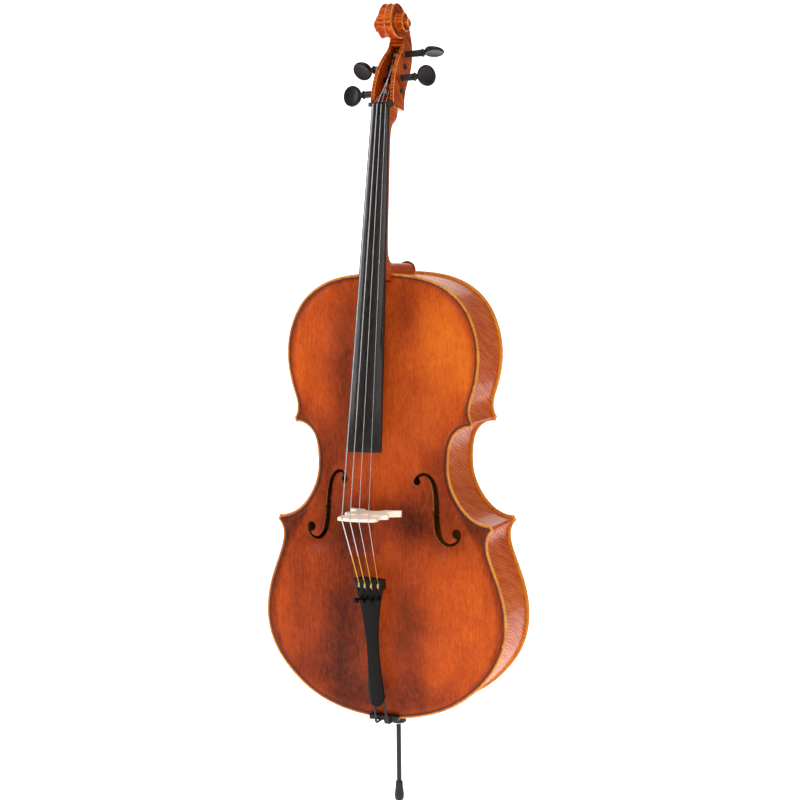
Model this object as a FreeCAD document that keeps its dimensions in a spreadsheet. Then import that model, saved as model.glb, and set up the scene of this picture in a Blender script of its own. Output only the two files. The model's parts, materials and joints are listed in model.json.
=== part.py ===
import FreeCAD, Part
import Sketcher
import math
import os
from FreeCAD import Placement, Rotation, Vector

# A full-size cello in its own frame, in millimetres.
# The origin is the underside of the end pin's foot. +Z runs up the instrument,
# -Y is the front (the belly side) and +X is the treble side.

os.makedirs("parts", exist_ok=True)
doc = FreeCAD.newDocument("Cello")

# ---------------------------------------------------------------- driving dimensions
SIZES = {
    # the sound box
    "bodyBottom": 159.5,      # from the foot's underside to the lower edge of the plates
    "bodyLength": 755,
    "ribHeight": 111,
    "ribThick": 2,
    "overhang": 4.5,          # how far the plates' edges stand out past the ribs
    "plateThick": 4.5,
    "edgeRound": 1.9,
    "frontArch": 24,
    "backArch": 22,
    "channel": 13,            # the flat margin round each plate
    "purflingInset": 5.2,
    "purflingWidth": 1.3,
    "purflingDepth": 2,
    "liningThick": 2.4,
    "liningHeight": 16,
    "blockDepth": 24,
    "blockWidth": 84,
    # the neck, its fingerboard and the peg box
    "boardStart": 465,        # the board's low end, above the lower edge of the plates
    "boardLength": 565,
    "boardCrown": 148,        # the board's surface in front of the middle plane, low end
    "nutCrown": 56.2,         # and at the nut
    "boardWide": 62.5,
    "nutWide": 31.4,
    "boardUnder": 135,        # the board's flat underside, low end
    "nutUnder": 49,           # and at the nut
    "boardRadiusLow": 78,
    "boardRadiusNut": 62,
    "nutThick": 7,
    "nutRise": 1.6,
    "neckBackHeel": 54,
    "neckBackNut": 31,
    "heelHalfFront": 19.5,
    "heelHalfBack": 15,
    "mortiseDepth": 14,
    "boxHalfLow": 21,         # half the peg box's width at the nut
    "boxHalfTop": 13.5,       # and at the top of the scroll
    "boxWall": 7.5,
    "eyeHeight": 1168,        # the scroll's eye, above the lower edge of the plates
    "eyeDepth": 1,
    # tuning pegs
    "pegBig": 6,              # radius at the head's end of the shaft
    "pegTaper": 0.022,        # radius lost per millimetre
    "pegFit": 0.05,
    "pegSlope": 3.8,          # degrees that the pegs rise towards the treble side
    "pegHeadLong": 16.3,      # the head's half length along the peg
    "pegHeadWide": 18,
    "pegHeadThick": 5.4,
    "windingWide": 7,
    "windingRise": 1.5,
    # the bridge and its strings
    "bridgeHeight": 356,      # above the lower edge of the plates
    "bridgeCrown": 172,
    "bridgeFoot": 46,         # half width over the feet
    "bridgeHead": 33.5,       # half width at the crown
    "bridgeShift": -3.5,      # how far it stands off the middle, towards the bass side
    "bridgeThickFoot": 11,
    "bridgeThickCrown": 4.6,
    "stringGapBridge": 15.6,
    "stringGapNut": 7.4,
    "stringGapTail": 11.4,
    # tailpiece, fine tuners and tail gut
    "tailBottom": 28,
    "tailDepth": 97,
    "tailLength": 229,
    "tailTilt": 8.3,
    "tailRadius": 60,
    "tailShell": 5,
    "pivotUp": 212,
    "pivotBack": 13.5,
    "pivotRadius": 1.5,
    "screwUp": 190,
    "screwRadius": 1.5,
    "screwHead": 4.6,
    "leverGap": 1,            # between a screw's end and its lever at rest
    "gutRadius": 2,
    # end pin
    "plugRadius": 11,
    "socketNeck": 9,
    "collarRadius": 13.5,
    "rodRadius": 4.1,
    "rodLength": 392,
    "footRadius": 8.2,
    "footLength": 34,
    "thumbUp": 15.8,          # the thumbscrew's axis below the lower edge of the plates
    "thumbAngle": 230,
    # inside
    "postRadius": 5.5,
    "postX": 27,
    "postUp": 338,
    "barWide": 11,
    "barX": 26,
}
sheet = doc.addObject("Spreadsheet::Sheet", "Sizes")
for row, (alias, value) in enumerate(SIZES.items(), 1):
    sheet.set("A%d" % row, alias)
    sheet.set("B%d" % row, str(value))
    sheet.setAlias("B%d" % row, alias)
doc.recompute()


def size(alias):
    return float(sheet.get(alias))


def up(height):
    """Height in the part's frame of a point given above the lower edge of the plates."""
    return size("bodyBottom") + height


# ---------------------------------------------------------------- document helpers
def bind(obj, **expressions):
    for prop, expression in expressions.items():
        obj.setExpression(prop.replace("__", "."), expression)
    return obj


def feature(label, shape):
    """A sub-part whose shape follows a surface or a sweep that no sketch holds."""
    obj = doc.addObject("Part::Feature", label)
    obj.Label = label
    obj.Shape = shape
    obj.Placement = shape.Placement
    return obj


def plane_of(body, role):
    return next(f for f in body.Origin.OriginFeatures if f.Role == role)


def value_of(expression):
    return float(sheet.evalExpression(expression))


def sketch_of(body, role, points, offset=None, radii=None):
    """A closed outline on one of the body's own planes.

    points are pairs of sheet expressions. radii gives, for the side that starts
    at a point, the radius of an arc that bulges to the outline's left.
    """
    sketch = body.newObject("Sketcher::SketchObject", body.Label + "_outline")
    sketch.AttachmentSupport = [(plane_of(body, role), "")]
    sketch.MapMode = "FlatFace"
    if offset:
        sketch.setExpression("AttachmentOffset.Base.z", offset)
    spots = [Vector(value_of(u), value_of(v), 0) for u, v in points]
    count = len(spots)
    for i in range(count):
        a, b = spots[i], spots[(i + 1) % count]
        if radii and i in radii:
            sketch.addGeometry(arc_between(a, b, value_of(radii[i])), False)
        else:
            sketch.addGeometry(Part.LineSegment(a, b), False)
    for i in range(count):
        start = 2 if radii and i in radii else 1
        ends = 2 if radii and (i - 1) % count in radii else 2
        if radii and (i - 1) % count in radii:
            ends = 1
        sketch.addConstraint(Sketcher.Constraint("Coincident", (i - 1) % count, ends, i, start))
    for i, (u, v) in enumerate(points):
        start = 2 if radii and i in radii else 1
        for kind, expression, tag in (("DistanceX", u, "u"), ("DistanceY", v, "v")):
            name = "%s%d" % (tag, i)
            spot = spots[i].x if tag == "u" else spots[i].y
            number = sketch.addConstraint(Sketcher.Constraint(kind, -1, 1, i, start, spot))
            sketch.renameConstraint(number, name)
            sketch.setExpression("Constraints." + name, expression)
    for i, radius in (radii or {}).items():
        number = sketch.addConstraint(Sketcher.Constraint("Radius", i, value_of(radius)))
        sketch.renameConstraint(number, "radius%d" % i)
        sketch.setExpression("Constraints.radius%d" % i, radius)
    return sketch


def arc_between(a, b, radius):
    """The short arc from b back to a, bulging to the left of the way from a to b."""
    middle = (a + b) * 0.5
    along = (b - a).normalize()
    left = Vector(-along.y, along.x, 0)
    reach = math.sqrt(radius ** 2 - (a.distanceToPoint(b) / 2) ** 2)
    centre = middle - left * reach
    circle = Part.Circle(centre, Vector(0, 0, 1), radius)
    start = math.atan2(b.y - centre.y, b.x - centre.x)
    end = math.atan2(a.y - centre.y, a.x - centre.x)
    return Part.ArcOfCircle(circle, start, end)


def turned(label, stations, **place):
    """A turned piece. stations are (radius, height) expressions round the half section."""
    body = doc.addObject("PartDesign::Body", label)
    body.Label = label
    sketch = sketch_of(body, "XZ_Plane", stations)
    turn = body.newObject("PartDesign::Revolution", label + "_turn")
    turn.Profile = sketch
    turn.ReferenceAxis = (sketch, ["V_Axis"])
    turn.Angle = 360
    body.Tip = turn
    bind(body, **place)
    return body


# ---------------------------------------------------------------- shape helpers
def curve(points, first=None, last=None):
    """A smooth edge through (x, z) points given above the lower edge of the plates."""
    spots = [Vector(x, 0, up(z)) for x, z in points]
    spline = Part.BSplineCurve()
    tangents = {}
    if first:
        tangents["InitialTangent"] = Vector(first[0], 0, first[1])
    if last:
        tangents["FinalTangent"] = Vector(last[0], 0, last[1])
    spline.interpolate(Points=spots, **tangents)
    return spline.toShape()


def straight(a, b):
    return Part.LineSegment(a, b).toShape()


def closed(edges):
    return Part.Wire(Part.__sortEdges__(edges))


def mirrored(shape):
    return shape.mirror(Vector(0, 0, 0), Vector(1, 0, 0))


def box(x0, x1, y0, y1, z0, z1):
    return Part.makeBox(x1 - x0, y1 - y0, z1 - z0, Vector(x0, y0, z0))


def slab(face, y0, y1):
    """A face in the middle plane, drawn out from one depth to another."""
    moved = face.copy()
    moved.translate(Vector(0, y0, 0))
    return moved.extrude(Vector(0, y1 - y0, 0))


def side_prism(points, half_width):
    """A polygon of (y, z) points, drawn out to both sides of the middle plane."""
    spots = [Vector(-half_width, y, z) for y, z in points]
    return Part.Face(Part.makePolygon(spots + spots[:1])).extrude(Vector(2 * half_width, 0, 0))


def rod(a, b, radius):
    return Part.makeCylinder(radius, a.distanceToPoint(b), a, b - a)


# ---------------------------------------------------------------- the body's outline
LOWER_BOUT = ((0, 0), (75, 9.5), (138, 37), (180, 74), (208, 116), (219.5, 177), (206, 243), (190, 287),
              (186.5, 310), (196.5, 332))
WAIST = ((193, 340.5), (158, 352.5), (136, 377), (120.5, 414),
         (119, 450), (128, 485), (142, 498), (160, 501))
UPPER_BOUT = ((162.5, 509), (156.5, 526), (163, 556), (173.5, 612), (166.5, 664), (142, 710), (109, 736),
              (70, 749.5), (0, 755))


SAMPLES = 25
OUTLINE_CURVES = [curve(LOWER_BOUT, first=(1, 0)), curve(WAIST), curve(UPPER_BOUT, last=(-1, 0))]


def crossing(first, second):
    """Where two open polylines cross: the point and the number of the piece on each."""
    for i, (a, b) in enumerate(zip(first, first[1:])):
        for j, (c, e) in enumerate(zip(second, second[1:])):
            r, q = b - a, e - c
            across = r.x * q.z - r.z * q.x
            if abs(across) < 1e-9:
                continue
            share = ((c.x - a.x) * q.z - (c.z - a.z) * q.x) / across
            other = ((c.x - a.x) * r.z - (c.z - a.z) * r.x) / across
            if 0 <= share <= 1 and 0 <= other <= 1:
                return a + r * share, i, j
    return None


def inset_path(edge, distance, grow_start, grow_end):
    """Points along an outline curve moved into the body, run on straight past a corner."""
    low, high = edge.ParameterRange
    spots = []
    for i in range(SAMPLES):
        at = low + (high - low) * i / (SAMPLES - 1)
        tangent = edge.tangentAt(at)
        spots.append(edge.valueAt(at) + Vector(-tangent.z, 0, tangent.x) * distance)
    if grow_start:
        spots.insert(0, spots[0] - edge.tangentAt(low) * CORNER_RUN)
    if grow_end:
        spots.append(spots[-1] + edge.tangentAt(high) * CORNER_RUN)
    return spots


CORNER_RUN = 12


def corner_cut(before, after, end, start, distance):
    """Trims two inset paths at a corner, blunt where the corner's own end still reaches."""
    along = (start - end).normalize()
    inward = Vector(-along.z, 0, along.x)
    blunt = [end + inward * distance - along * 30, start + inward * distance + along * 30]
    point, i, j = crossing(before, after) or (None, 0, 0)
    if point is not None and (point - blunt[0]).dot(inward) > 0:
        return before[:i + 1] + [point], [point] + after[j + 1:]
    first, i, _ = crossing(before, blunt)
    second, j, _ = crossing(after, blunt)
    return before[:i + 1] + [first], [second] + after[j + 1:]


def thinned(spots):
    """Leaves out a point that stands too close to the trimmed end beside it."""
    kept = [p for i, p in enumerate(spots) if i in (0, len(spots) - 1)
            or (p.distanceToPoint(spots[0]) > 3 and p.distanceToPoint(spots[-1]) > 3)]
    return kept


def inset(distance):
    """The face of the body's outline, moved inwards."""
    lower, waist, upper = [inset_path(edge, distance, i > 0, i < 2)
                           for i, edge in enumerate(OUTLINE_CURVES)]
    lower[0].x = 0
    upper[-1].x = 0
    tips = [(edge.valueAt(edge.FirstParameter), edge.valueAt(edge.LastParameter))
            for edge in OUTLINE_CURVES]
    lower, waist = corner_cut(lower, waist, tips[0][1], tips[1][0], distance)
    waist, upper = corner_cut(waist, upper, tips[1][1], tips[2][0], distance)
    half = []
    for spots in (lower, waist, upper):
        spline = Part.BSplineCurve()
        spline.interpolate(Points=thinned(spots))
        half.append(spline.toShape())
    for a, b in ((lower, waist), (waist, upper)):
        if a[-1].distanceToPoint(b[0]) > 1e-6:
            half.append(straight(a[-1], b[0]))
    return Part.Face(closed(half + [mirrored(edge) for edge in half]))


OUTLINE = inset(0)


def ring(outer, inner, y0, y1):
    return slab(inset(outer), y0, y1).cut(slab(inset(inner), y0 - 1, y1 + 1))


# ---------------------------------------------------------------- the arching
# half the width of the raised part of each plate, by height; the corners stay flat
ARCH_WIDTH = ((0, 40), (30, 118), (74, 166), (116, 193), (177, 206), (243, 192), (310, 163), (370, 125),
              (421, 107), (470, 110), (526, 141), (612, 160), (664, 151), (710, 125), (736, 92), (755, 40))


def arch_width_curve():
    spline = Part.BSplineCurve()
    spline.interpolate(Points=[Vector(w, 0, z) for z, w in ARCH_WIDTH],
                       Parameters=[z for z, w in ARCH_WIDTH])
    return spline


WIDTH_CURVE = arch_width_curve()


def swell(t, fullness):
    """1 in the middle, 0 at t = 1, level at both ends."""
    return 0.5 * (1 + math.cos(math.pi * min(1, abs(t)) ** fullness))


def arch(x, z, rise):
    """Height of the arching above the plate's edge at x, z."""
    length = size("bodyLength")
    if not 0 < z < length:
        return 0
    reach = length / 2 - size("channel")
    return rise * swell((z - length / 2) / reach, 3.6) * swell(x / WIDTH_CURVE.value(z).x, 1.15)


def arch_face(rise, side, depth):
    """The arched surface over the whole plate. side is -1 for the front and 1 for the back."""
    columns, rows = 34, 48
    poles = []
    for i in range(columns + 1):
        x = -238 + 476 * i / columns
        poles.append([])
        for j in range(rows + 1):
            z = -30 + (size("bodyLength") + 60) * j / rows
            poles[-1].append(Vector(x, side * (depth + arch(x, z, rise)), up(z)))
    surface = Part.BSplineSurface()
    knots_u = list(range(columns - 1))
    knots_v = list(range(rows - 1))
    ends = lambda knots: [4] + [1] * (len(knots) - 2) + [4]
    surface.buildFromPolesMultsKnots(poles, ends(knots_u), ends(knots_v), knots_u, knots_v,
                                     False, False, 3, 3)
    return surface.toShape()


HALF_DEPTH = size("ribHeight") / 2
EDGE_PLANE = HALF_DEPTH + size("plateThick")
FRONT_FACE = arch_face(size("frontArch"), -1, EDGE_PLANE)
BACK_FACE = arch_face(size("backArch"), 1, EDGE_PLANE)


# ---------------------------------------------------------------- f-holes
F_INNER = ((69, 414.2), (73, 418.6), (79.5, 417.8), (86, 411), (90, 399.8), (92.3, 380.6), (93.2, 361),
           (93.8, 342.3), (95.6, 328), (101.2, 313.8), (109.6, 305.2), (119, 301.8), (129, 303.7),
           (137, 310.5), (140.2, 322.5))
F_OUTER = ((133, 315), (127, 308.3), (120, 307.3), (113.5, 311.5), (109, 319), (105.8, 331), (103.9, 347),
           (103.2, 361), (102.3, 376), (100.8, 390), (98.4, 401.8), (94, 412), (88.2, 419), (81, 423.2),
           (73.8, 424), (67.3, 421.2), (61.3, 415), (59.3, 409))
F_EYES = ((65.5, 409, 6.3), (132.2, 323.2, 8.2))
F_NICK = 359


def f_hole():
    inner = curve(F_INNER)
    outer = curve(F_OUTER)
    ends = [straight(inner.Vertexes[-1].Point, outer.Vertexes[0].Point),
            straight(outer.Vertexes[-1].Point, inner.Vertexes[0].Point)]
    front = -EDGE_PLANE - size("frontArch") - 5
    depth = size("frontArch") + 15
    stem = slab(Part.Face(closed([inner, outer] + ends)), front, front + depth)
    cuts = [stem]
    for x, z, radius in F_EYES:
        cuts.append(Part.makeCylinder(radius, depth, Vector(x, front, up(z)), Vector(0, 1, 0)))
    nick = [Vector(90, front, up(F_NICK)),
            Vector(98.3, front, up(F_NICK + 3)),
            Vector(106.5, front, up(F_NICK)),
            Vector(98.3, front, up(F_NICK - 3))]
    cuts.append(Part.Face(Part.makePolygon(nick + nick[:1])).extrude(Vector(0, depth, 0)))
    return cuts


# ---------------------------------------------------------------- neck, peg box and scroll
# (y, z) with z above the lower edge of the plates
BOX_BACK = ((-31, 1003), (-9, 1009), (1, 1024), (4, 1044), (14, 1062), (30, 1080), (44, 1097), (52, 1115),
            (54, 1135), (49.5, 1158), (38.5, 1178), (22, 1194),
            (2, 1203.8), (-17, 1200), (-31, 1188), (-37, 1172),
            (-33, 1158), (-19, 1147.5), (-2, 1145.5), (14, 1147))
BOX_FRONT = ((14, 1147), (22, 1138), (14, 1126), (-3, 1113),
             (-20, 1099), (-32, 1082), (-40, 1062), (-46, 1038))


def yz_curve(points):
    spline = Part.BSplineCurve()
    spline.interpolate(Points=[Vector(0, y, up(z)) for y, z in points])
    return spline.toShape()


def yz_solid(edges, half_width):
    face = Part.Face(closed(edges))
    face.translate(Vector(-half_width, 0, 0))
    return face.extrude(Vector(2 * half_width, 0, 0))


def yz(y, z):
    return Vector(0, y, up(z))


def board_under(z):
    """Depth of the fingerboard's underside at a height above the lower edge of the plates."""
    share = (z - size("boardStart")) / size("boardLength")
    return -(size("boardUnder") * (1 - share) + size("nutUnder") * share)


def neck_section(z, half, back):
    front = board_under(z)
    a, b = Vector(-half, front, up(z)), Vector(half, front, up(z))
    flank = front + (back - front) * 0.3
    c, d = Vector(half, flank, up(z)), Vector(-half, flank, up(z))
    round_back = Part.Arc(c, Vector(0, back, up(z)), d).toShape()
    return Part.Wire([straight(a, b), straight(b, c), round_back, straight(d, a)])


def peg_box_width(z):
    share = (z - 1030) / (1200 - 1030)
    return size("boxHalfLow") * (1 - share) + size("boxHalfTop") * share


def taper_prism(half_low, half_top, z0, z1):
    """A wedge that narrows upwards, as deep as the whole scroll."""
    spots = [Vector(-half_low, -80, up(z0)), Vector(half_low, -80, up(z0)),
             Vector(half_top, -80, up(z1)), Vector(-half_top, -80, up(z1))]
    return Part.Face(Part.makePolygon(spots + spots[:1])).extrude(Vector(0, 160, 0))


def heel_shape():
    edge = size("bodyLength")
    foot = edge - size("mortiseDepth")
    front = board_under(edge)
    corner = board_under(790)
    edges = [straight(yz(front, foot), yz(HALF_DEPTH, foot)),
             straight(yz(HALF_DEPTH, foot), yz(HALF_DEPTH, 768)),
             yz_curve(((HALF_DEPTH, 768), (20, 769), (-20, 771.5), (-44, 778), (-54, 792))),
             straight(yz(-54, 792), yz(corner, 790)),
             straight(yz(corner, 790), yz(front, foot))]
    profile = yz_solid(edges, 30)
    half_front, half_back = size("heelHalfFront"), size("heelHalfBack")
    plan = [Vector(-half_front, -100, up(foot)), Vector(half_front, -100, up(foot)),
            Vector(half_back, 60, up(foot)), Vector(-half_back, 60, up(foot))]
    wedge = Part.Face(Part.makePolygon(plan + plan[:1])).extrude(Vector(0, 0, 80))
    return profile.common(wedge)


def neck_shape():
    sections = [neck_section(788, 19, -size("neckBackHeel")), neck_section(900, 17.2, -43),
                neck_section(1006, 15.6, -size("neckBackNut"))]
    shaft = Part.makeLoft(sections, True)
    edges = [yz_curve(BOX_BACK), yz_curve(BOX_FRONT), straight(yz(-46, 1038), yz(-46, 1030)),
             straight(yz(-46, 1030), yz(board_under(1030), 1030)),
             straight(yz(board_under(1030), 1030), yz(board_under(1003), 1003)),
             straight(yz(board_under(1003), 1003), yz(-31, 1003))]
    box_low, box_top = peg_box_width(1000), peg_box_width(1210)
    head = yz_solid(edges, 40).common(taper_prism(box_low, box_top, 1000, 1210))
    wall = size("boxWall")
    hollow_edges = [yz_curve(((-8, 1040), (-3, 1052), (8, 1066), (22, 1082),
                              (36, 1098), (43, 1114), (44, 1126))),
                    straight(yz(44, 1126), yz(30, 1136)), straight(yz(30, 1136), yz(-40, 1136)),
                    straight(yz(-40, 1136), yz(-80, 1090)), straight(yz(-80, 1090), yz(-80, 1040)),
                    straight(yz(-80, 1040), yz(-8, 1040))]
    inner_taper = taper_prism(box_low - wall, box_top - wall * 0.8, 1000, 1210)
    hollow = yz_solid(hollow_edges, 40).common(inner_taper)
    head = head.cut(hollow)
    turns = []
    for radius, half, back, rise in ((23, 20, 2, 0), (18, 24, 1, -0.5), (13, 28.5, 1, -1), (8, 33, 0, -1)):
        centre = Vector(-half, size("eyeDepth") + back, up(size("eyeHeight") + rise))
        turns.append(Part.makeCylinder(radius, 2 * half, centre, Vector(1, 0, 0)))
    return shaft.fuse([heel_shape(), head] + turns).removeSplitter()


# ---------------------------------------------------------------- pegs
# (name, side, y, z, from the middle plane to the tip, how far the head is turned)
PEGS = (("c", -1, -13, 1055, 84, 8), ("g", -1, 11, 1097, 75, -38), ("d", 1, 23, 1118, 83.5, 74),
        ("a", 1, -6, 1077, 80.5, 15))
STRINGS = ("c", "g", "d", "a")
STRING_RADIUS = {"c": 0.95, "g": 0.75, "d": 0.55, "a": 0.4}
STRING_BALL = 2.2        # radius of the ball at a string's lower end
PEG_COLLAR = "Sizes.pegBig + 1.4"
PEG_TIP_OUT = 3          # how far a peg's small end stands out of the wall


def string_place(name):
    """-1.5, -0.5, 0.5 or 1.5 gaps from the middle plane."""
    return STRINGS.index(name) - 1.5


def peg_turn(side):
    """Lays a peg that is drawn along +Z across the peg box, towards its own side."""
    return Rotation(Vector(0, 1, 0), 90 * side - size("pegSlope"))


def peg_point(side, y, z, at):
    """The point on a peg's axis that is so far along it from the middle plane."""
    return Vector(0, y, up(z)) + peg_turn(side).multVec(Vector(0, 0, at))


def build_peg(name, side, y, z, reach, head_turn):
    """A tapered shaft with a collar at the foot of its flat head."""
    wall = peg_box_width(z)
    tip = -(wall + PEG_TIP_OUT)
    head_foot = reach - 2 * size("pegHeadLong")
    shaft_radius = lambda at: "Sizes.pegBig - (%.1f - (%.1f)) * Sizes.pegTaper" % (head_foot, at)
    stations = [("0", "%.2f" % tip),
                (shaft_radius(tip) + " - 1", "%.2f" % tip),
                (shaft_radius(tip), "%.2f" % (tip + 1)),
                (shaft_radius(head_foot - 7), "%.2f" % (head_foot - 7)),
                (PEG_COLLAR, "%.2f" % (head_foot - 5)),
                (PEG_COLLAR, "%.2f" % (head_foot - 3)), ("5", "%.2f" % head_foot),
                ("4", "%.2f" % (head_foot + 12)), ("0", "%.2f" % (head_foot + 12))]
    shaft = turned("peg_%s_shaft" % name, stations)
    leaf = doc.addObject("Part::Ellipsoid", "peg_%s_leaf" % name)
    leaf.Label = "peg_%s_leaf" % name
    bind(leaf, Radius1="Sizes.pegHeadLong", Radius2="Sizes.pegHeadWide", Radius3="Sizes.pegHeadThick",
         Placement__Base__z="%.2f - Sizes.pegHeadLong" % reach)
    peg = doc.addObject("Part::MultiFuse", "peg_" + name)
    peg.Label = "peg_" + name
    peg.Shapes = [shaft, leaf]
    spin = Rotation(Vector(0, 0, 1), head_turn)
    peg.Placement = Placement(Vector(0, y, up(z)), peg_turn(side).multiply(spin))
    return peg


def peg_radius(name, at):
    """The shaft's radius so far along it from the middle plane."""
    reach = next(row[4] for row in PEGS if row[0] == name)
    return size("pegBig") - (reach - 2 * size("pegHeadLong") - at) * size("pegTaper")


def peg_bore(name, side, y, z):
    """The tapered hole through both walls, a running fit on the peg."""
    wall = peg_box_width(z)
    fit = size("pegFit")
    low, high = -(wall + 8), wall + 8
    axis = peg_turn(side).multVec(Vector(0, 0, 1))
    return Part.makeCone(peg_radius(name, low) + fit, peg_radius(name, high) + fit, high - low,
                         peg_point(side, y, z, low), axis)


def string_on_peg(name):
    """How far along its peg a string is wound, from the middle plane towards the head."""
    return {"c": 5.5, "g": -1.0, "d": -1.5, "a": 5.5}[name]


def winding_shape(name, side, y, z):
    at = string_on_peg(name)
    half = size("windingWide") / 2
    axis = peg_turn(side).multVec(Vector(0, 0, 1))
    start = peg_point(side, y, z, at - half)
    low, high = peg_radius(name, at - half), peg_radius(name, at + half)
    outer = Part.makeCylinder(high + size("windingRise"), 2 * half, start, axis)
    return outer.cut(Part.makeCone(low, high, 2 * half, start, axis))


# ---------------------------------------------------------------- strings
def tail_frame():
    return Placement(Vector(0, -size("tailDepth"), up(size("tailBottom"))),
                     Rotation(Vector(1, 0, 0), size("tailTilt")))


def on_tail(x, along, out):
    """A point given in the tailpiece's own directions; out is towards the front."""
    return tail_frame().multVec(Vector(x, -out, along))


def tail_surface(x):
    radius = size("tailRadius")
    return math.sqrt(radius ** 2 - x ** 2) - radius


BRIDGE_CURVE = 72        # radius of the bridge's crown
BRIDGE_CURVE_AT = -1.5   # the crown's highest place, so that the treble side is a little lower


def bridge_top(x):
    """Depth of the bridge's crown at x."""
    rise = math.sqrt(BRIDGE_CURVE ** 2 - (x - BRIDGE_CURVE_AT) ** 2) - BRIDGE_CURVE
    return -(size("bridgeCrown") + rise)


def board_top(z, x):
    share = (z - size("boardStart")) / size("boardLength")
    crown = size("boardCrown") * (1 - share) + size("nutCrown") * share
    radius = size("boardRadiusLow") * (1 - share) + size("boardRadiusNut") * share
    return -(crown + math.sqrt(radius ** 2 - x ** 2) - radius)


NUT_TOP_Z = size("boardStart") + size("boardLength") + 4


def string_points(name):
    place = string_place(name)
    radius = STRING_RADIUS[name]
    x_tail = place * size("stringGapTail")
    x_bridge = place * size("stringGapBridge")
    x_nut = place * size("stringGapNut")
    hook = on_tail(x_tail, size("pivotUp") + 4, tail_surface(x_tail) - 1.5)
    bridge = Vector(x_bridge + size("bridgeShift"), bridge_top(x_bridge) - radius, up(size("bridgeHeight")))
    nut = Vector(x_nut, board_top(NUT_TOP_Z, x_nut) - size("nutRise") - radius, up(NUT_TOP_Z))
    side, y, z = next(row[1:4] for row in PEGS if row[0] == name)
    at = string_on_peg(name)
    middle = peg_point(side, y, z, at)
    reach = peg_radius(name, at + size("windingWide") / 2) + size("windingRise") + 0.05
    dy, dz = middle.y - nut.y, middle.z - nut.z
    far = math.hypot(dy, dz)
    turn = math.atan2(dz, dy) + math.asin((reach + radius) / far)
    run = math.sqrt(far ** 2 - (reach + radius) ** 2)
    end = Vector(middle.x, nut.y + run * math.cos(turn), nut.z + run * math.sin(turn))
    return [hook, bridge, nut, end]


def string_shape(name):
    radius = STRING_RADIUS[name]
    points = string_points(name)
    runs = [rod(a, b, radius) for a, b in zip(points, points[1:])]
    knees = [Part.makeSphere(radius, p) for p in points[1:-1]]
    ball = Part.makeSphere(STRING_BALL, points[0])
    return runs[0].fuse(runs[1:] + knees + [ball])


STRING_SHAPES = {name: string_shape(name) for name in STRINGS}


# ---------------------------------------------------------------- bridge
BRIDGE_SIDE = ((46, 0), (46, 6), (33, 14), (27, 22), (29, 30), (37, 37),
               (38.5, 45), (31, 51), (29, 57), (31.5, 68), (33.5, 80))


def bridge_shape():
    """The bridge stands across the belly: its outline lies in X and Y, its thickness along Z."""
    belly = -EDGE_PLANE - arch(0, size("bridgeHeight"), size("frontArch"))
    base = belly + 9
    height = up(size("bridgeHeight"))
    spot = lambda x, rise: Vector(x, belly + 6 - rise, height)
    right = Part.BSplineCurve()
    right.interpolate(Points=[spot(x, r) for x, r in BRIDGE_SIDE[1:]])
    head = size("bridgeHead")
    crown_right = Vector(head, bridge_top(head), height)
    crown_left = Vector(-head, bridge_top(-head), height)
    crown = Part.Arc(crown_right, Vector(0, bridge_top(0), height), crown_left).toShape()
    side_right = right.toShape()
    side_left = mirrored(side_right)
    arch_low = Part.Arc(Vector(20, base, height),
                        Vector(0, belly - 12, height),
                        Vector(-20, base, height)).toShape()
    foot = size("bridgeFoot")
    edges = [straight(Vector(20, base, height), Vector(foot, base, height)),
             straight(Vector(foot, base, height), spot(foot, 6)), side_right,
             straight(side_right.Vertexes[-1].Point, crown_right), crown,
             straight(crown_left, side_left.Vertexes[-1].Point), side_left,
             straight(spot(-foot, 6), Vector(-foot, base, height)),
             straight(Vector(-foot, base, height), Vector(-20, base, height)), arch_low]
    face = Part.Face(closed(edges))
    thick_foot, thick_crown = size("bridgeThickFoot"), size("bridgeThickCrown")
    face.translate(Vector(0, 0, -thick_foot))
    blank = face.extrude(Vector(0, 0, 2 * thick_foot))
    crown_y = -size("bridgeCrown") - 6
    wedge = [(base, height - thick_foot / 2), (base, height + thick_foot / 2),
             (crown_y, height + thick_crown / 2), (crown_y, height - thick_crown / 2)]
    bridge = blank.common(side_prism(wedge, 60))
    holes = [Part.makeCylinder(5, 40, Vector(0, belly - 45, height - 20)),
             Part.makeCylinder(3.4, 40, Vector(-5.5, belly - 51, height - 20)),
             Part.makeCylinder(3.4, 40, Vector(5.5, belly - 51, height - 20)),
             Part.makeCylinder(6.5, 40, Vector(-21, belly - 52, height - 20)),
             Part.makeCylinder(6.5, 40, Vector(21, belly - 52, height - 20))]
    bridge = bridge.cut(holes[0].fuse(holes[1:]))
    bridge.translate(Vector(size("bridgeShift"), 0, 0))
    bridge = bridge.cut(BELLY)
    return bridge.cut(Part.makeCompound(list(STRING_SHAPES.values())))


# ---------------------------------------------------------------- tailpiece and fine tuners
TAIL_SIDE = ((0, 0), (4.5, 0.7), (9, 3.4), (13.2, 13), (13.4, 26),
             (11.2, 60), (10, 105), (13.2, 150), (19, 187), (28.5, 223))


def tail_blank():
    """The tailpiece before it is placed: X across, Z along, front towards -Y."""
    side = Part.BSplineCurve()
    side.interpolate(Points=[Vector(x, 0, z) for x, z in TAIL_SIDE])
    right = side.toShape()
    left = mirrored(right)
    top = Part.Arc(Vector(28.5, 0, 223),
                   Vector(0, 0, size("tailLength")),
                   Vector(-28.5, 0, 223)).toShape()
    outline = slab(Part.Face(closed([right, left, top])), -10, 30)
    radius, shell = size("tailRadius"), size("tailShell")
    outer = Part.makeCylinder(radius, 250, Vector(0, radius, -5))
    inner = Part.makeCylinder(radius - shell, 250, Vector(0, radius, -5))
    ridge = Part.makeCylinder(radius + 2, 6, Vector(0, radius, 221)).cut(inner)
    return outline.common(outer.cut(inner).fuse(ridge))


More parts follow.
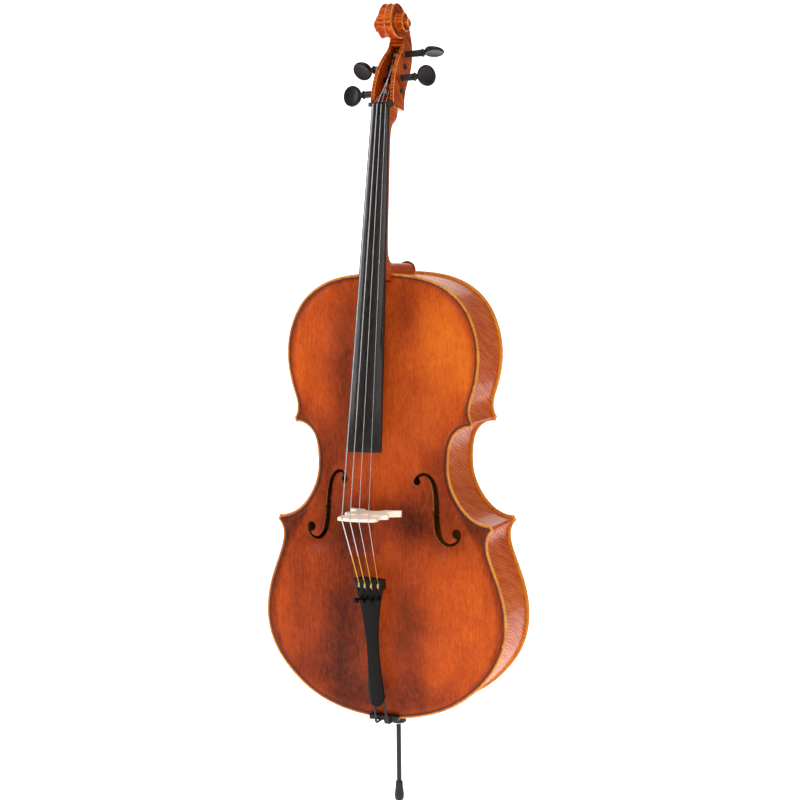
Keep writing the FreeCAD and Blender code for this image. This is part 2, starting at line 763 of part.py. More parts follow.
def tail_shape():
    blank = tail_blank()
    pivot_up, pivot_back = size("pivotUp"), size("pivotBack")
    lugs = [box(x - 1.5, x + 1.5, 6, pivot_back + 4, pivot_up - 6, pivot_up + 6) for x in (-23.5, 23.5)]
    gut_wall = box(-11.5, 11.5, 3, 13.5, 12, 18)
    blank = blank.fuse(lugs + [gut_wall])
    pin = Part.makeCylinder(size("pivotRadius"), 60, Vector(-30, pivot_back, pivot_up), Vector(1, 0, 0))
    cuts = [pin]
    for name in STRINGS:
        x = string_place(name) * size("stringGapTail")
        cuts.append(box(x - 2.4, x + 2.4, -5, 20, pivot_up - 8, pivot_up + 8.5))
        hole = Part.makeCylinder(size("screwRadius") + 0.05, 40, Vector(0, 0, -20))
        hole.Placement = screw_place(x)
        cuts.append(hole)
        cuts.append(box(x - 1.2, x + 1.2, -5, -tail_surface(x) - 0.4, pivot_up + 5, 240))
    shape = blank.cut(cuts)
    shape.Placement = tail_frame()
    return shape.cut([GUT] + list(STRING_SHAPES.values()))


def screw_lean(x):
    """Degrees that a tuner screw leans outwards, square to the tailpiece's curved face."""
    return math.degrees(math.asin(x / size("tailRadius")))


def screw_place(x):
    """On the tailpiece's face, with +Z standing out of it."""
    stand = Rotation(Vector(0, 1, 0), screw_lean(x))
    lay = Rotation(Vector(1, 0, 0), 90)
    return Placement(Vector(x, -tail_surface(x), size("screwUp")), lay.multiply(stand))


def screw_depth(x):
    """How far behind the face a screw ends, just clear of its lever."""
    lean = math.radians(screw_lean(abs(x)))
    room = 1 + size("leverGap") + size("screwRadius") * math.sin(lean)
    behind = size("pivotBack") - room + tail_surface(x)
    return behind / math.cos(lean)


def lever_shape(name):
    x = string_place(name) * size("stringGapTail")
    pivot_up, pivot_back = size("pivotUp"), size("pivotBack")
    surface = -tail_surface(x)
    hub = Part.makeCylinder(3, 3, Vector(x - 1.5, pivot_back, pivot_up), Vector(1, 0, 0))
    tip = screw_place(x).multVec(Vector(0, 0, -screw_depth(x))).x
    spots = [Vector(x - 1.5, 0, pivot_up), Vector(x + 1.5, 0, pivot_up),
             Vector(tip + 1.8, 0, size("screwUp") - 5), Vector(tip - 1.8, 0, size("screwUp") - 5)]
    arm = slab(Part.Face(Part.makePolygon(spots + spots[:1])), pivot_back - 1, pivot_back + 2)
    fork = box(x - 1.5, x + 1.5, surface + 4.2, pivot_back, pivot_up - 1.5, pivot_up + 1.5)
    cup = Part.makeSphere(2.6, Vector(x, surface + 1.5, pivot_up + 4))
    finger = box(x - 1.5, x + 1.5, surface - 0.5, surface + 4.3, pivot_up - 1.5, pivot_up + 3)
    pin = Part.makeCylinder(size("pivotRadius") + 0.05, 20,
                            Vector(x - 10, pivot_back, pivot_up), Vector(1, 0, 0))
    shape = hub.fuse([arm, fork, finger]).cut(pin).cut(cup)
    shape.Placement = tail_frame()
    return shape


def tuner_screw(name):
    """A turned screw with a knurled head, square to the tailpiece's face."""
    x = string_place(name) * size("stringGapTail")
    back = "-%.2f" % screw_depth(x)
    stations = [("0", back), ("Sizes.screwRadius", back),
                ("Sizes.screwRadius", "8"), ("Sizes.screwHead", "8"),
                ("Sizes.screwHead", "12.5"), ("Sizes.screwHead - 1", "13.5"), ("0", "13.5")]
    screw = turned("tuner_screw_" + name, stations)
    screw.Placement = tail_frame().multiply(screw_place(x))
    return screw


def gut_path(side):
    """From behind the tailpiece over the saddle to the socket's neck: runs joined by an arc."""
    reach = size("socketNeck") + size("gutRadius") + 0.05
    level = up(-6)
    start = on_tail(side * 7.5, 22, -9)
    corner = Vector(side * reach, -73, level)
    last = Vector(side * reach, 0, level)
    return start, corner, last


def filleted(points, radius):
    """A wire along the points with one tangent arc at each inner point."""
    edges = []
    at = points[0]
    for before, corner, after in zip(points, points[1:], points[2:]):
        a = (before - corner).normalize()
        b = (after - corner).normalize()
        half = a.getAngle(b) / 2
        back = radius / math.tan(half)
        start, end = corner + a * back, corner + b * back
        middle = corner + (a + b).normalize() * (radius / math.sin(half) - radius)
        edges.append(straight(at, start))
        edges.append(Part.Arc(start, middle, end).toShape())
        at = end
    edges.append(straight(at, points[-1]))
    return edges


def gut_shape():
    right = filleted(list(gut_path(1)), 7)
    left = filleted(list(gut_path(-1)), 7)
    reach = size("socketNeck") + size("gutRadius") + 0.05
    level = up(-6)
    loop = Part.Arc(Vector(reach, 0, level), Vector(0, reach, level), Vector(-reach, 0, level)).toShape()
    wire = closed(right + [loop] + left)
    start = gut_path(1)[0]
    direction = gut_path(1)[1] - start
    profile = Part.Wire([Part.Circle(start, direction, size("gutRadius")).toShape()])
    sweep = wire.makePipeShell([profile], True, False, 1)
    knots = [Part.makeSphere(3.6, gut_path(side)[0] + Vector(0, 0, 1)) for side in (-1, 1)]
    return sweep.fuse(knots)


GUT = gut_shape()


# ---------------------------------------------------------------- build: sound box
def corner_wedge(x0, x1, z0, z1):
    return box(x0, x1, -HALF_DEPTH, HALF_DEPTH, up(z0), up(z1))


NECK = neck_shape().cut(Part.makeCompound([peg_bore(*row[:4]) for row in PEGS]))
HEEL = heel_shape()
BELLY = slab(OUTLINE, -EDGE_PLANE - 40, 0).common(FRONT_FACE.extrude(Vector(0, 40, 0)))
inner_limit = size("overhang") + size("ribThick")


def plate(face, side, thick):
    blank = face.extrude(Vector(0, -side * thick, 0))
    low, high = sorted((side * HALF_DEPTH, side * (EDGE_PLANE + 40)))
    blank = blank.common(slab(OUTLINE, low - 1, high))
    rims = [edge for edge in blank.Edges if edge.BoundBox.YLength < 1]
    return blank.makeFillet(size("edgeRound"), rims)


def purfling_strip(face, side):
    start = size("purflingInset")
    low, high = sorted((side * HALF_DEPTH, side * (EDGE_PLANE + 40)))
    bar = ring(start, start + size("purflingWidth"), low, high)
    return bar.common(face.extrude(Vector(0, -side * size("purflingDepth"), 0)))


def build_plates():
    strip = purfling_strip(FRONT_FACE, -1).cut(HEEL)
    saddle = saddle_shape()
    strip = strip.cut(saddle)
    top = plate(FRONT_FACE, -1, size("plateThick")).cut(strip)
    holes = f_hole()
    for cut in holes + [mirrored(hole) for hole in holes]:
        top = top.cut(cut)
    top = top.cut([HEEL, saddle])
    feature("top_plate", top)
    feature("purfling_front", strip)
    back_strip = purfling_strip(BACK_FACE, 1)
    back = plate(BACK_FACE, 1, size("plateThick"))
    button = Part.makeCylinder(size("heelHalfBack"), size("plateThick"), Vector(0, HALF_DEPTH, up(757)),
                               Vector(0, 1, 0))
    back = back.fuse(button).cut(back_strip)
    feature("back_plate", back)
    feature("purfling_back", back_strip)


def saddle_shape():
    front = -EDGE_PLANE - 8
    return box(-26, 26, front, -HALF_DEPTH, up(-2), up(6.5))


def build_ribs():
    band = ring(size("overhang"), inner_limit, -HALF_DEPTH, HALF_DEPTH).cut(HEEL)
    plug = Part.makeCylinder(size("plugRadius"), 60, Vector(0, 0, up(-10)))
    low_split, high_split = 336.5, 505
    spans = (("rib_lower", -20, low_split),
             ("rib_waist", low_split, high_split),
             ("rib_upper", high_split, 780))
    for name, z0, z1 in spans:
        for side, low, high in (("bass", -240, 0), ("treble", 0, 240)):
            piece = band.common(box(low, high, -80, 80, up(z0), up(z1))).cut(plug)
            feature("%s_%s" % (name, side), piece)


def build_blocks():
    inside = slab(inset(inner_limit), -HALF_DEPTH, HALF_DEPTH)
    half = size("blockWidth") / 2
    deep = size("blockDepth")
    plug = Part.makeCylinder(size("plugRadius"), 80, Vector(0, 0, up(-10)))
    lowest = up(size("bodyLength") - 6 - deep - 14)
    top = inside.common(box(-half, half, -HALF_DEPTH, HALF_DEPTH, lowest, up(760)))
    end = inside.common(box(-half, half, -HALF_DEPTH, HALF_DEPTH, up(-5), up(6 + deep)))
    feature("top_block", top.cut(HEEL))
    feature("end_block", end.cut(plug))
    corners = []
    for low, high, z0, z1 in ((152, 200, 300, 366), (128, 170, 482, 540)):
        corner = inside.common(corner_wedge(low, high, z0, z1))
        corners += [corner, mirrored(corner)]
    blocks = Part.makeCompound([solid for corner in corners for solid in corner.Solids])
    feature("corner_blocks", blocks)
    keep_out = [top, end] + corners
    band = ring(inner_limit, inner_limit + size("liningThick"), -HALF_DEPTH, HALF_DEPTH).cut(keep_out)
    for name, y0, y1 in (("linings_front", -HALF_DEPTH, -HALF_DEPTH + size("liningHeight")),
                         ("linings_back", HALF_DEPTH - size("liningHeight"), HALF_DEPTH)):
        feature(name, Part.makeCompound(band.common(box(-240, 240, y0, y1, up(-10), up(770))).Solids))


def build_bass_bar():
    """Fitted to the underside of the belly on the bass side, deepest under the bridge."""
    top = FRONT_FACE.copy()
    top.translate(Vector(0, size("plateThick") + 0.02, 0))
    x = -size("barX")
    half = size("barWide") / 2
    under = top.extrude(Vector(0, 30, 0))
    blank = under.common(box(x - half, x + half, -120, 0, up(80), up(665)))
    shape = [(-130, up(80)), (-60, up(80)), (-62, up(340)), (-60, up(665)), (-130, up(665))]
    feature("bass_bar", blank.common(side_prism(shape, 60)))


def build_sound_post():
    x, z = size("postX"), size("postUp")
    reach = size("postRadius")
    spots = [(x + reach * i, z + reach * j) for i in (-1, 0, 1) for j in (-1, 0, 1)]
    front = min(arch(a, b, size("frontArch")) for a, b in spots)
    back = min(arch(a, b, size("backArch")) for a, b in spots)
    low = -(HALF_DEPTH + front - 0.45)
    high = HALF_DEPTH + back - 0.45
    post = doc.addObject("Part::Cylinder", "sound_post")
    post.Label = "sound_post"
    bind(post, Radius="Sizes.postRadius")
    post.Height = high - low
    post.Placement = Placement(Vector(x, low, up(z)), Rotation(Vector(1, 0, 0), -90))


# ---------------------------------------------------------------- build: neck and fittings
def build_fingerboard():
    body = doc.addObject("PartDesign::Body", "fingerboard")
    body.Label = "fingerboard"
    stations = (("Sizes.boardWide / 2", "Sizes.boardUnder", "Sizes.boardCrown", "Sizes.boardRadiusLow",
                 "Sizes.bodyBottom + Sizes.boardStart"),
                ("Sizes.nutWide / 2", "Sizes.nutUnder", "Sizes.nutCrown", "Sizes.boardRadiusNut",
                 "Sizes.bodyBottom + Sizes.boardStart + Sizes.boardLength"))
    sketches = []
    for half, under, crown, radius, height in stations:
        edge = "-(%s - %s + sqrt((%s)^2 - (%s)^2))" % (crown, radius, radius, half)
        points = [(half, "-(%s)" % under), (half, edge),
                  ("-(%s)" % half, edge), ("-(%s)" % half, "-(%s)" % under)]
        sketches.append(board_sketch(body, points, radius, height))
    loft = body.newObject("PartDesign::AdditiveLoft", "fingerboard_loft")
    loft.Profile = sketches[0]
    loft.Sections = [sketches[1]]
    loft.Ruled = True
    body.Tip = loft


def board_sketch(body, points, radius, height):
    return sketch_of(body, "XY_Plane", points, offset=height, radii={1: radius})


def build_nut():
    start = size("boardStart") + size("boardLength")
    half = size("boxHalfLow") + 0.3
    low_y, top = -46, -(size("nutCrown") + size("nutRise"))
    blank = box(-half, half, -70, low_y, up(start), up(start + size("nutThick")))
    radius = size("boardRadiusNut")
    crown = Part.makeCylinder(radius, 20, Vector(0, top + radius, up(start - 1)))
    nut = blank.common(crown).cut(NECK)
    feature("nut", nut.cut(Part.makeCompound(list(STRING_SHAPES.values()))))


def build_bridge_and_strings():
    feature("bridge", bridge_shape())
    for name in STRINGS:
        feature("string_" + name, STRING_SHAPES[name])


def build_pegs():
    for row in PEGS:
        build_peg(*row)
        feature("winding_" + row[0], winding_shape(*row[:4]))


def build_tail():
    feature("tailpiece", tail_shape())
    pins = rod(on_tail(-24.5, size("pivotUp"), -size("pivotBack")),
               on_tail(24.5, size("pivotUp"), -size("pivotBack")),
               size("pivotRadius"))
    feature("tuner_pivot", pins)
    for name in STRINGS:
        feature("tuner_lever_" + name, lever_shape(name))
        tuner_screw(name)
    feature("tailgut", GUT)
    feature("saddle", saddle_shape())


def thumb_direction():
    angle = math.radians(size("thumbAngle"))
    return Vector(math.cos(angle), math.sin(angle), 0)


def build_end_pin():
    low = "Sizes.bodyBottom"
    bore = "Sizes.rodRadius + 0.05"
    stations = [(bore, low + " + 34"),
                ("Sizes.plugRadius", low + " + 34"), ("Sizes.plugRadius", low + " + 4"),
                ("Sizes.socketNeck", low + " + 4"), ("Sizes.socketNeck", low + " - 10.5"),
                ("Sizes.collarRadius - 1", low + " - 10.5"), ("Sizes.collarRadius", low + " - 11.5"),
                ("Sizes.collarRadius", low + " - 20"), ("Sizes.collarRadius - 1", low + " - 21"),
                (bore, low + " - 21")]
    socket = turned("endpin_socket_turned", stations)
    hole = doc.addObject("Part::Cylinder", "thumbscrew_hole")
    bind(hole, Radius="2.05", Height="Sizes.collarRadius + 2")
    hole.Placement = Placement(Vector(0, 0, up(-size("thumbUp"))),
                               Rotation(Vector(0, 0, 1), thumb_direction()))
    cut = doc.addObject("Part::Cut", "endpin_socket")
    cut.Label = "endpin_socket"
    cut.Base = socket
    cut.Tool = hole
    turned("endpin_ring", [(bore, low + " - 21"), ("10", low + " - 21"),
                           ("10", low + " - 22.6"), (bore, low + " - 22.6")])
    screw = turned("thumbscrew", [("0", "Sizes.rodRadius + 0.3"), ("2", "Sizes.rodRadius + 0.3"),
                                  ("2", "Sizes.collarRadius + 2"), ("5", "Sizes.collarRadius + 2"),
                                  ("6", "Sizes.collarRadius + 3"), ("6", "Sizes.collarRadius + 12"),
                                  ("5", "Sizes.collarRadius + 13"), ("0", "Sizes.collarRadius + 13")])
    screw.Placement = Placement(Vector(0, 0, up(-size("thumbUp"))),
                                Rotation(Vector(0, 0, 1), thumb_direction()))
    rod_low = 22
    pin = doc.addObject("Part::Cylinder", "endpin_rod")
    pin.Label = "endpin_rod"
    bind(pin, Radius="Sizes.rodRadius", Height="Sizes.rodLength", Placement__Base__z="%d" % rod_low)
    turned("rubber_foot", [("0", "0"), ("6", "0"), ("7.2", "2"),
                           ("Sizes.footRadius", "8"), ("Sizes.footRadius - 0.4", "14"),
                           ("6.6", "22"), ("6", "Sizes.footLength - 1"), ("5.4", "Sizes.footLength"),
                           ("Sizes.rodRadius", "Sizes.footLength"),
                           ("Sizes.rodRadius", "%d" % rod_low), ("0", "%d" % rod_low)])


def main():
    feature("neck", NECK)
    build_plates()
    build_ribs()
    build_blocks()
    build_bass_bar()
    build_sound_post()
    build_fingerboard()
    build_nut()
    build_bridge_and_strings()
    build_pegs()
    build_tail()
    build_end_pin()


NODES = ["top_plate", "back_plate", "purfling_front", "purfling_back", "linings_front", "linings_back", "top_block",
         "end_block", "corner_blocks", "bass_bar", "sound_post", "neck", "fingerboard", "nut", "saddle", "bridge",
         "tailpiece", "tuner_pivot", "tailgut", "endpin_socket", "endpin_ring", "thumbscrew", "endpin_rod",
         "rubber_foot"]
for part in ("lower", "waist", "upper"):
    NODES += ["rib_%s_bass" % part, "rib_%s_treble" % part]
for letter in STRINGS:
    NODES += ["peg_" + letter, "winding_" + letter, "string_" + letter, "tuner_lever_" + letter,
              "tuner_screw_" + letter]

main()
doc.recompute()
for obj in doc.Objects:
    if "Invalid" in obj.State or "Error" in obj.State:
        raise RuntimeError("%s did not build" % obj.Label)
for label in NODES:
    shape = doc.getObjectsByLabel(label)[0].Shape
    if shape.isNull() or not shape.isValid() or not shape.Solids:
        raise RuntimeError("%s has no valid solid" % label)
    shape.exportStep("parts/%s.step" % label)
    print("%-22s %3d solids %12.0f mm3" % (label, len(shape.Solids), shape.Volume))
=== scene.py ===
import bpy, bmesh, json, math
from mathutils import Matrix, Vector

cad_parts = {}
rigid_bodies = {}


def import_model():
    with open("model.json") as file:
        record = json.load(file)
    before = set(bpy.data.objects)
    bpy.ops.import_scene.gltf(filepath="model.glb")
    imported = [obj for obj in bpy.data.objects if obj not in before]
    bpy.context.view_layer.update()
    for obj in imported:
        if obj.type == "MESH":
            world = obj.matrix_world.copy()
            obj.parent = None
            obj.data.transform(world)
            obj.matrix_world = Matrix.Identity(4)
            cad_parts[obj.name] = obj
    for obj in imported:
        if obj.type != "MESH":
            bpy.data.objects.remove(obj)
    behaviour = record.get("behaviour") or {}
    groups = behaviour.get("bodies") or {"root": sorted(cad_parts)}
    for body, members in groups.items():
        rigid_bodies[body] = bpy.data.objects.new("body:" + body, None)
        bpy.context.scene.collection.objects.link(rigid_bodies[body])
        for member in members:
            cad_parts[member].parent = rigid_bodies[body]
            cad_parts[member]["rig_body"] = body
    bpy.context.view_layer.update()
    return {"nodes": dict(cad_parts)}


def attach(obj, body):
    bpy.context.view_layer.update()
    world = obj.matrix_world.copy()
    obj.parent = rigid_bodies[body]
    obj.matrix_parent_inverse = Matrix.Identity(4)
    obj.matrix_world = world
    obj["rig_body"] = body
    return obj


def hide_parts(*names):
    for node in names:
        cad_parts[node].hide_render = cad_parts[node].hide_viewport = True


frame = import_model()
nodes = frame["nodes"]
bodyOf = {name: node["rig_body"] for name, node in nodes.items()}
mm = 0.001
bodyBottom = 159.5 * mm  # lower edge of the plates
print("frame loaded:", len(nodes), "nodes")


# camera and studio

view = {
    "position": (1.29846, -3.12753, 1.03246),
    "turn": (84.3415, 0.5489, 22.3625),
    "lens": 90.0,
}
studio = {
    "backdrop": "#f6f6f6",
    "backdropGlow": 0.95,
    "backdropHalf": 1.9,
    "world": 0.26,
    "key": 42,
    "front": 22,
    "side": 7,
    "rim": 8,
    "top": 26,
}


def hexColour(text, alpha=1.0):
    # sRGB hex to linear
    parts = [int(text[i:i + 2], 16) / 255 for i in (1, 3, 5)]
    return tuple(c / 12.92 if c <= 0.04045 else ((c + 0.055) / 1.055) ** 2.4 for c in parts) + (alpha,)


def makeCamera():
    data = bpy.data.cameras.new("camera")
    data.lens = view["lens"]
    data.sensor_width = 36
    data.clip_end = 50
    camera = bpy.data.objects.new("camera", data)
    camera.location = view["position"]
    camera.rotation_euler = [math.radians(a) for a in view["turn"]]
    bpy.context.scene.collection.objects.link(camera)
    bpy.context.scene.camera = camera


makeCamera()
print("camera placed")


def areaLight(name, place, aim, wide, high, power, colour="#ffffff"):
    data = bpy.data.lights.new(name, "AREA")
    data.shape = "RECTANGLE"
    data.size, data.size_y = wide, high
    data.energy = power
    data.color = hexColour(colour)[:3]
    lamp = bpy.data.objects.new(name, data)
    lamp.location = place
    lamp.rotation_euler = (Vector(aim) - Vector(place)).to_track_quat("-Z", "Y").to_euler()
    bpy.context.scene.collection.objects.link(lamp)


# materials: small helpers

def newMaterial(name):
    material = bpy.data.materials.new(name)
    material.use_nodes = True
    tree = material.node_tree
    shader = tree.nodes["Principled BSDF"]
    return material, tree, shader


def add(tree, kind, links=None, **settings):
    # one node, its settings and the sockets that feed it
    made = tree.nodes.new(kind)
    for key, value in settings.items():
        setattr(made, key, value)
    for socket, source in (links or {}).items():
        target = made.inputs[socket]
        if isinstance(source, bpy.types.NodeSocket):
            tree.links.new(source, target)
        else:
            target.default_value = source
    return made


def ramp(tree, factor, stops):
    made = add(tree, "ShaderNodeValToRGB", {"Fac": factor})
    elements = made.color_ramp.elements
    while len(elements) > 1:
        elements.remove(elements[-1])
    elements[0].position, elements[0].color = stops[0][0], stops[0][1]
    for place, colour in stops[1:]:
        elements.new(place).color = colour
    return made.outputs["Color"]


def grey(value):
    return (value, value, value, 1)


def mixColour(tree, factor, a, b, blend="MIX"):
    made = add(tree, "ShaderNodeMix", {"Factor": factor}, data_type="RGBA", blend_type=blend)
    for socket, source in (("A", a), ("B", b)):
        target = next(i for i in made.inputs if i.name == socket and i.type == "RGBA")
        if isinstance(source, bpy.types.NodeSocket):
            tree.links.new(source, target)
        else:
            target.default_value = source
    return next(o for o in made.outputs if o.type == "RGBA")


def calculate(tree, operation, a, b=0.0, clamp=False):
    made = add(tree, "ShaderNodeMath", {0: a, 1: b}, operation=operation, use_clamp=clamp)
    return made.outputs[0]


def stretched(tree, source, scale, turn=(0, 0, 0), move=(0, 0, 0)):
    made = add(tree, "ShaderNodeMapping", {"Vector": source, "Scale": scale, "Rotation": turn,
                                           "Location": move})
    return made.outputs["Vector"]


def noiseOf(tree, vector, scale, detail=4, rough=0.5, distortion=0.0):
    made = add(tree, "ShaderNodeTexNoise", {"Vector": vector, "Scale": scale, "Detail": detail,
                                            "Roughness": rough, "Distortion": distortion})
    return made.outputs["Fac"]


def objectPlace(tree):
    return add(tree, "ShaderNodeTexCoord").outputs["Object"]


def bump(tree, height, strength, distance):
    made = add(tree, "ShaderNodeBump", {"Height": height, "Strength": strength, "Distance": distance})
    return made.outputs["Normal"]


def patch(tree, place, centre, reach, soft=1.0):
    # 1 at the centre, 0 beyond the reach, as an ellipsoid in metres
    moved = add(tree, "ShaderNodeVectorMath", {0: place, 1: centre}, operation="SUBTRACT").outputs["Vector"]
    scaled = add(tree, "ShaderNodeVectorMath", {0: moved, 1: tuple(1 / r for r in reach)},
                 operation="MULTIPLY").outputs["Vector"]
    length = add(tree, "ShaderNodeVectorMath", {0: scaled}, operation="LENGTH").outputs["Value"]
    made = add(tree, "ShaderNodeMapRange", {"Value": length, "From Min": 1 - soft, "From Max": 1.0,
                                            "To Min": 1.0, "To Max": 0.0}, interpolation_type="SMOOTHSTEP")
    return made.outputs["Result"]


# materials: woods

def addPatches(tree, place, tone, patches, depth, sign):
    # makes the tone lighter or darker round each place: ((x, z), (reach x, z), strength)
    for (x, z), (wide, tall), strength in patches:
        mask = patch(tree, place, (x, depth, bodyBottom + z), (wide, 0.5, tall))
        tone = calculate(tree, "ADD", tone, calculate(tree, "MULTIPLY", mask, sign * strength))
    return tone


def channelShadeAndDirt(tree, place, edge, reach):
    # 1 in the low channel inside the plate's edge, 0 once the arch has risen: the mask of painted shade in
    # that recess, together with dirt
    depth = add(tree, "ShaderNodeSeparateXYZ", {"Vector": place}).outputs["Y"]
    risen = calculate(tree, "SUBTRACT", calculate(tree, "ABSOLUTE", depth), edge)
    made = add(tree, "ShaderNodeMapRange", {"Value": risen, "From Min": 0.0, "From Max": reach,
                                            "To Min": 1.0, "To Max": 0.0}, interpolation_type="SMOOTHSTEP")
    return made.outputs["Result"]


def mend(tree, tone, weight, source):
    # adds a noise to the tone, about its own middle
    return calculate(tree, "ADD", tone,
                     calculate(tree, "MULTIPLY", calculate(tree, "SUBTRACT", source, 0.5), weight))


spruceVarnish = {
    "gold": "#f09a30", "amber": "#e0701c", "orange": "#c34f16", "red": "#963812", "brown": "#561d07",
    "black": "#260c04",
    "grainSpacing": 1.9 * mm,   # annual rings, drawn a little coarser than they are so that they show
    "coat": 0.02, "gloss": 0.10,
    # the last value is how far the channel is darkened: painted shade in the recess, together with dirt
    "edge": 59.95 * mm, "channel": 0.30 * mm, "shadeAndDirt": 0.20,
    # where the varnish is worn to gold
    "worn": (((0.118, 0.650), (0.080, 0.125), 0.66), ((0.165, 0.60), (0.05, 0.16), 0.40),
             ((-0.145, 0.660), (0.060, 0.120), 0.16), ((-0.165, 0.56), (0.04, 0.12), 0.30),
             ((0.10, 0.60), (0.13, 0.20), 0.20),
             ((0.165, 0.17), (0.075, 0.150), 0.22), ((0.12, 0.26), (0.09, 0.10), 0.10),
             ((-0.185, 0.180), (0.045, 0.120), 0.18), ((-0.11, 0.22), (0.05, 0.10), 0.10)),
    # and where it is darker: partly the varnish's own darker tone, partly painted shade, as beside the
    # fingerboard and round the waist
    "darkVarnishAndShade": (((-0.058, 0.60), (0.050, 0.26), 0.55), ((-0.055, 0.17), (0.085, 0.27), 0.80),
             ((-0.14, 0.20), (0.12, 0.22), 0.35),
             ((0.045, 0.69), (0.040, 0.09), 0.35), ((0.050, 0.15), (0.060, 0.20), 0.58),
             ((-0.105, 0.44), (0.075, 0.11), 0.50), ((0.120, 0.43), (0.060, 0.09), 0.50),
             ((-0.06, 0.335), (0.16, 0.09), 0.55), ((0.09, 0.34), (0.12, 0.08), 0.50),
             ((0.0, 0.035), (0.20, 0.07), 0.45), ((-0.12, 0.07), (0.09, 0.09), 0.40),
             ((0.06, 0.36), (0.06, 0.10), 0.30),
             ((0.157, 0.53), (0.04, 0.05), 0.22), ((-0.157, 0.53), (0.04, 0.05), 0.22)),
}


def spruceMaterial():
    # quarter-sawn spruce under an antiqued oil varnish: fine upright grain seen through
    # blotched orange and brown colour, with rubbed-in specks and a soft gloss
    material, tree, shader = newMaterial("spruceAntiquedOilVarnish")
    place = objectPlace(tree)
    wander = noiseOf(tree, stretched(tree, place, (6, 6, 2.2)), 1.0, 3)
    sideways = add(tree, "ShaderNodeSeparateXYZ", {"Vector": place}).outputs["X"]
    shifted = calculate(tree, "ADD", sideways, calculate(tree, "MULTIPLY", wander, 0.012))
    wave = calculate(tree, "SINE",
                     calculate(tree, "MULTIPLY", shifted, 2 * math.pi / spruceVarnish["grainSpacing"]))
    fine = noiseOf(tree, stretched(tree, place, (700, 700, 9)), 1.0, 5, 0.68)
    grain = calculate(tree, "ADD", calculate(tree, "MULTIPLY", wave, 0.13), fine)
    large = noiseOf(tree, stretched(tree, place, (9, 9, 6), move=(3.1, 0, 1.7)), 1.0, 3, 0.55, 0.6)
    middle = noiseOf(tree, stretched(tree, place, (42, 42, 24)), 1.0, 5, 0.62, 0.5)
    small = noiseOf(tree, stretched(tree, place, (210, 210, 95)), 1.0, 6, 0.7)
    tone = calculate(tree, "ADD", calculate(tree, "MULTIPLY", large, 0.22), 0.385)
    tone = mend(tree, tone, 0.20, middle)
    tone = mend(tree, tone, 0.30, small)
    tone = mend(tree, tone, 0.26, grain)
    tone = addPatches(tree, place, tone, spruceVarnish["worn"], -0.07, 0.24)
    # darkens round those places: painted shade, partly the varnish's own darker tone
    tone = addPatches(tree, place, tone, spruceVarnish["darkVarnishAndShade"], -0.07, -0.36)
    # the low channel inside the edge is darkened: painted shade in the recess, together with dirt
    shadeAndDirt = channelShadeAndDirt(tree, place, spruceVarnish["edge"], spruceVarnish["channel"])
    patchy = calculate(tree, "MULTIPLY", shadeAndDirt, calculate(tree, "ADD", middle, 0.45))
    tone = calculate(tree, "SUBTRACT", tone, calculate(tree, "MULTIPLY", patchy, spruceVarnish["shadeAndDirt"]))
    colour = ramp(tree, tone, ((0.05, hexColour(spruceVarnish["black"])),
                               (0.20, hexColour(spruceVarnish["brown"])),
                               (0.38, hexColour(spruceVarnish["red"])),
                               (0.55, hexColour(spruceVarnish["orange"])),
                               (0.74, hexColour(spruceVarnish["amber"])),
                               (0.92, hexColour(spruceVarnish["gold"]))))
    specks = noiseOf(tree, stretched(tree, place, (520, 520, 240)), 1.0, 3, 0.6)
    marks = ramp(tree, specks, ((0.30, grey(0.35)), (0.38, grey(1.0))))
    colour = mixColour(tree, 0.75, colour, marks, "MULTIPLY")
    tree.links.new(colour, shader.inputs["Base Color"])
    tree.links.new(ramp(tree, small, ((0.3, grey(0.34)), (0.7, grey(0.5)))), shader.inputs["Roughness"])
    shader.inputs["Specular IOR Level"].default_value = spruceVarnish["gloss"]
    shader.inputs["Coat Weight"].default_value = spruceVarnish["coat"]
    shader.inputs["Coat Roughness"].default_value = 0.22
    tree.links.new(bump(tree, grain, 0.3, 0.0002), shader.inputs["Normal"])
    return material


mapleVarnish = {
    "amber": "#d4691a", "orange": "#ba420e", "red": "#8a2c0b", "brown": "#451505",
    "flame": 5.6 * mm,      # from one flame stripe to the next
    "gloss": 0.08,
    "edge": 59.95 * mm, "channel": 0.30 * mm,
}


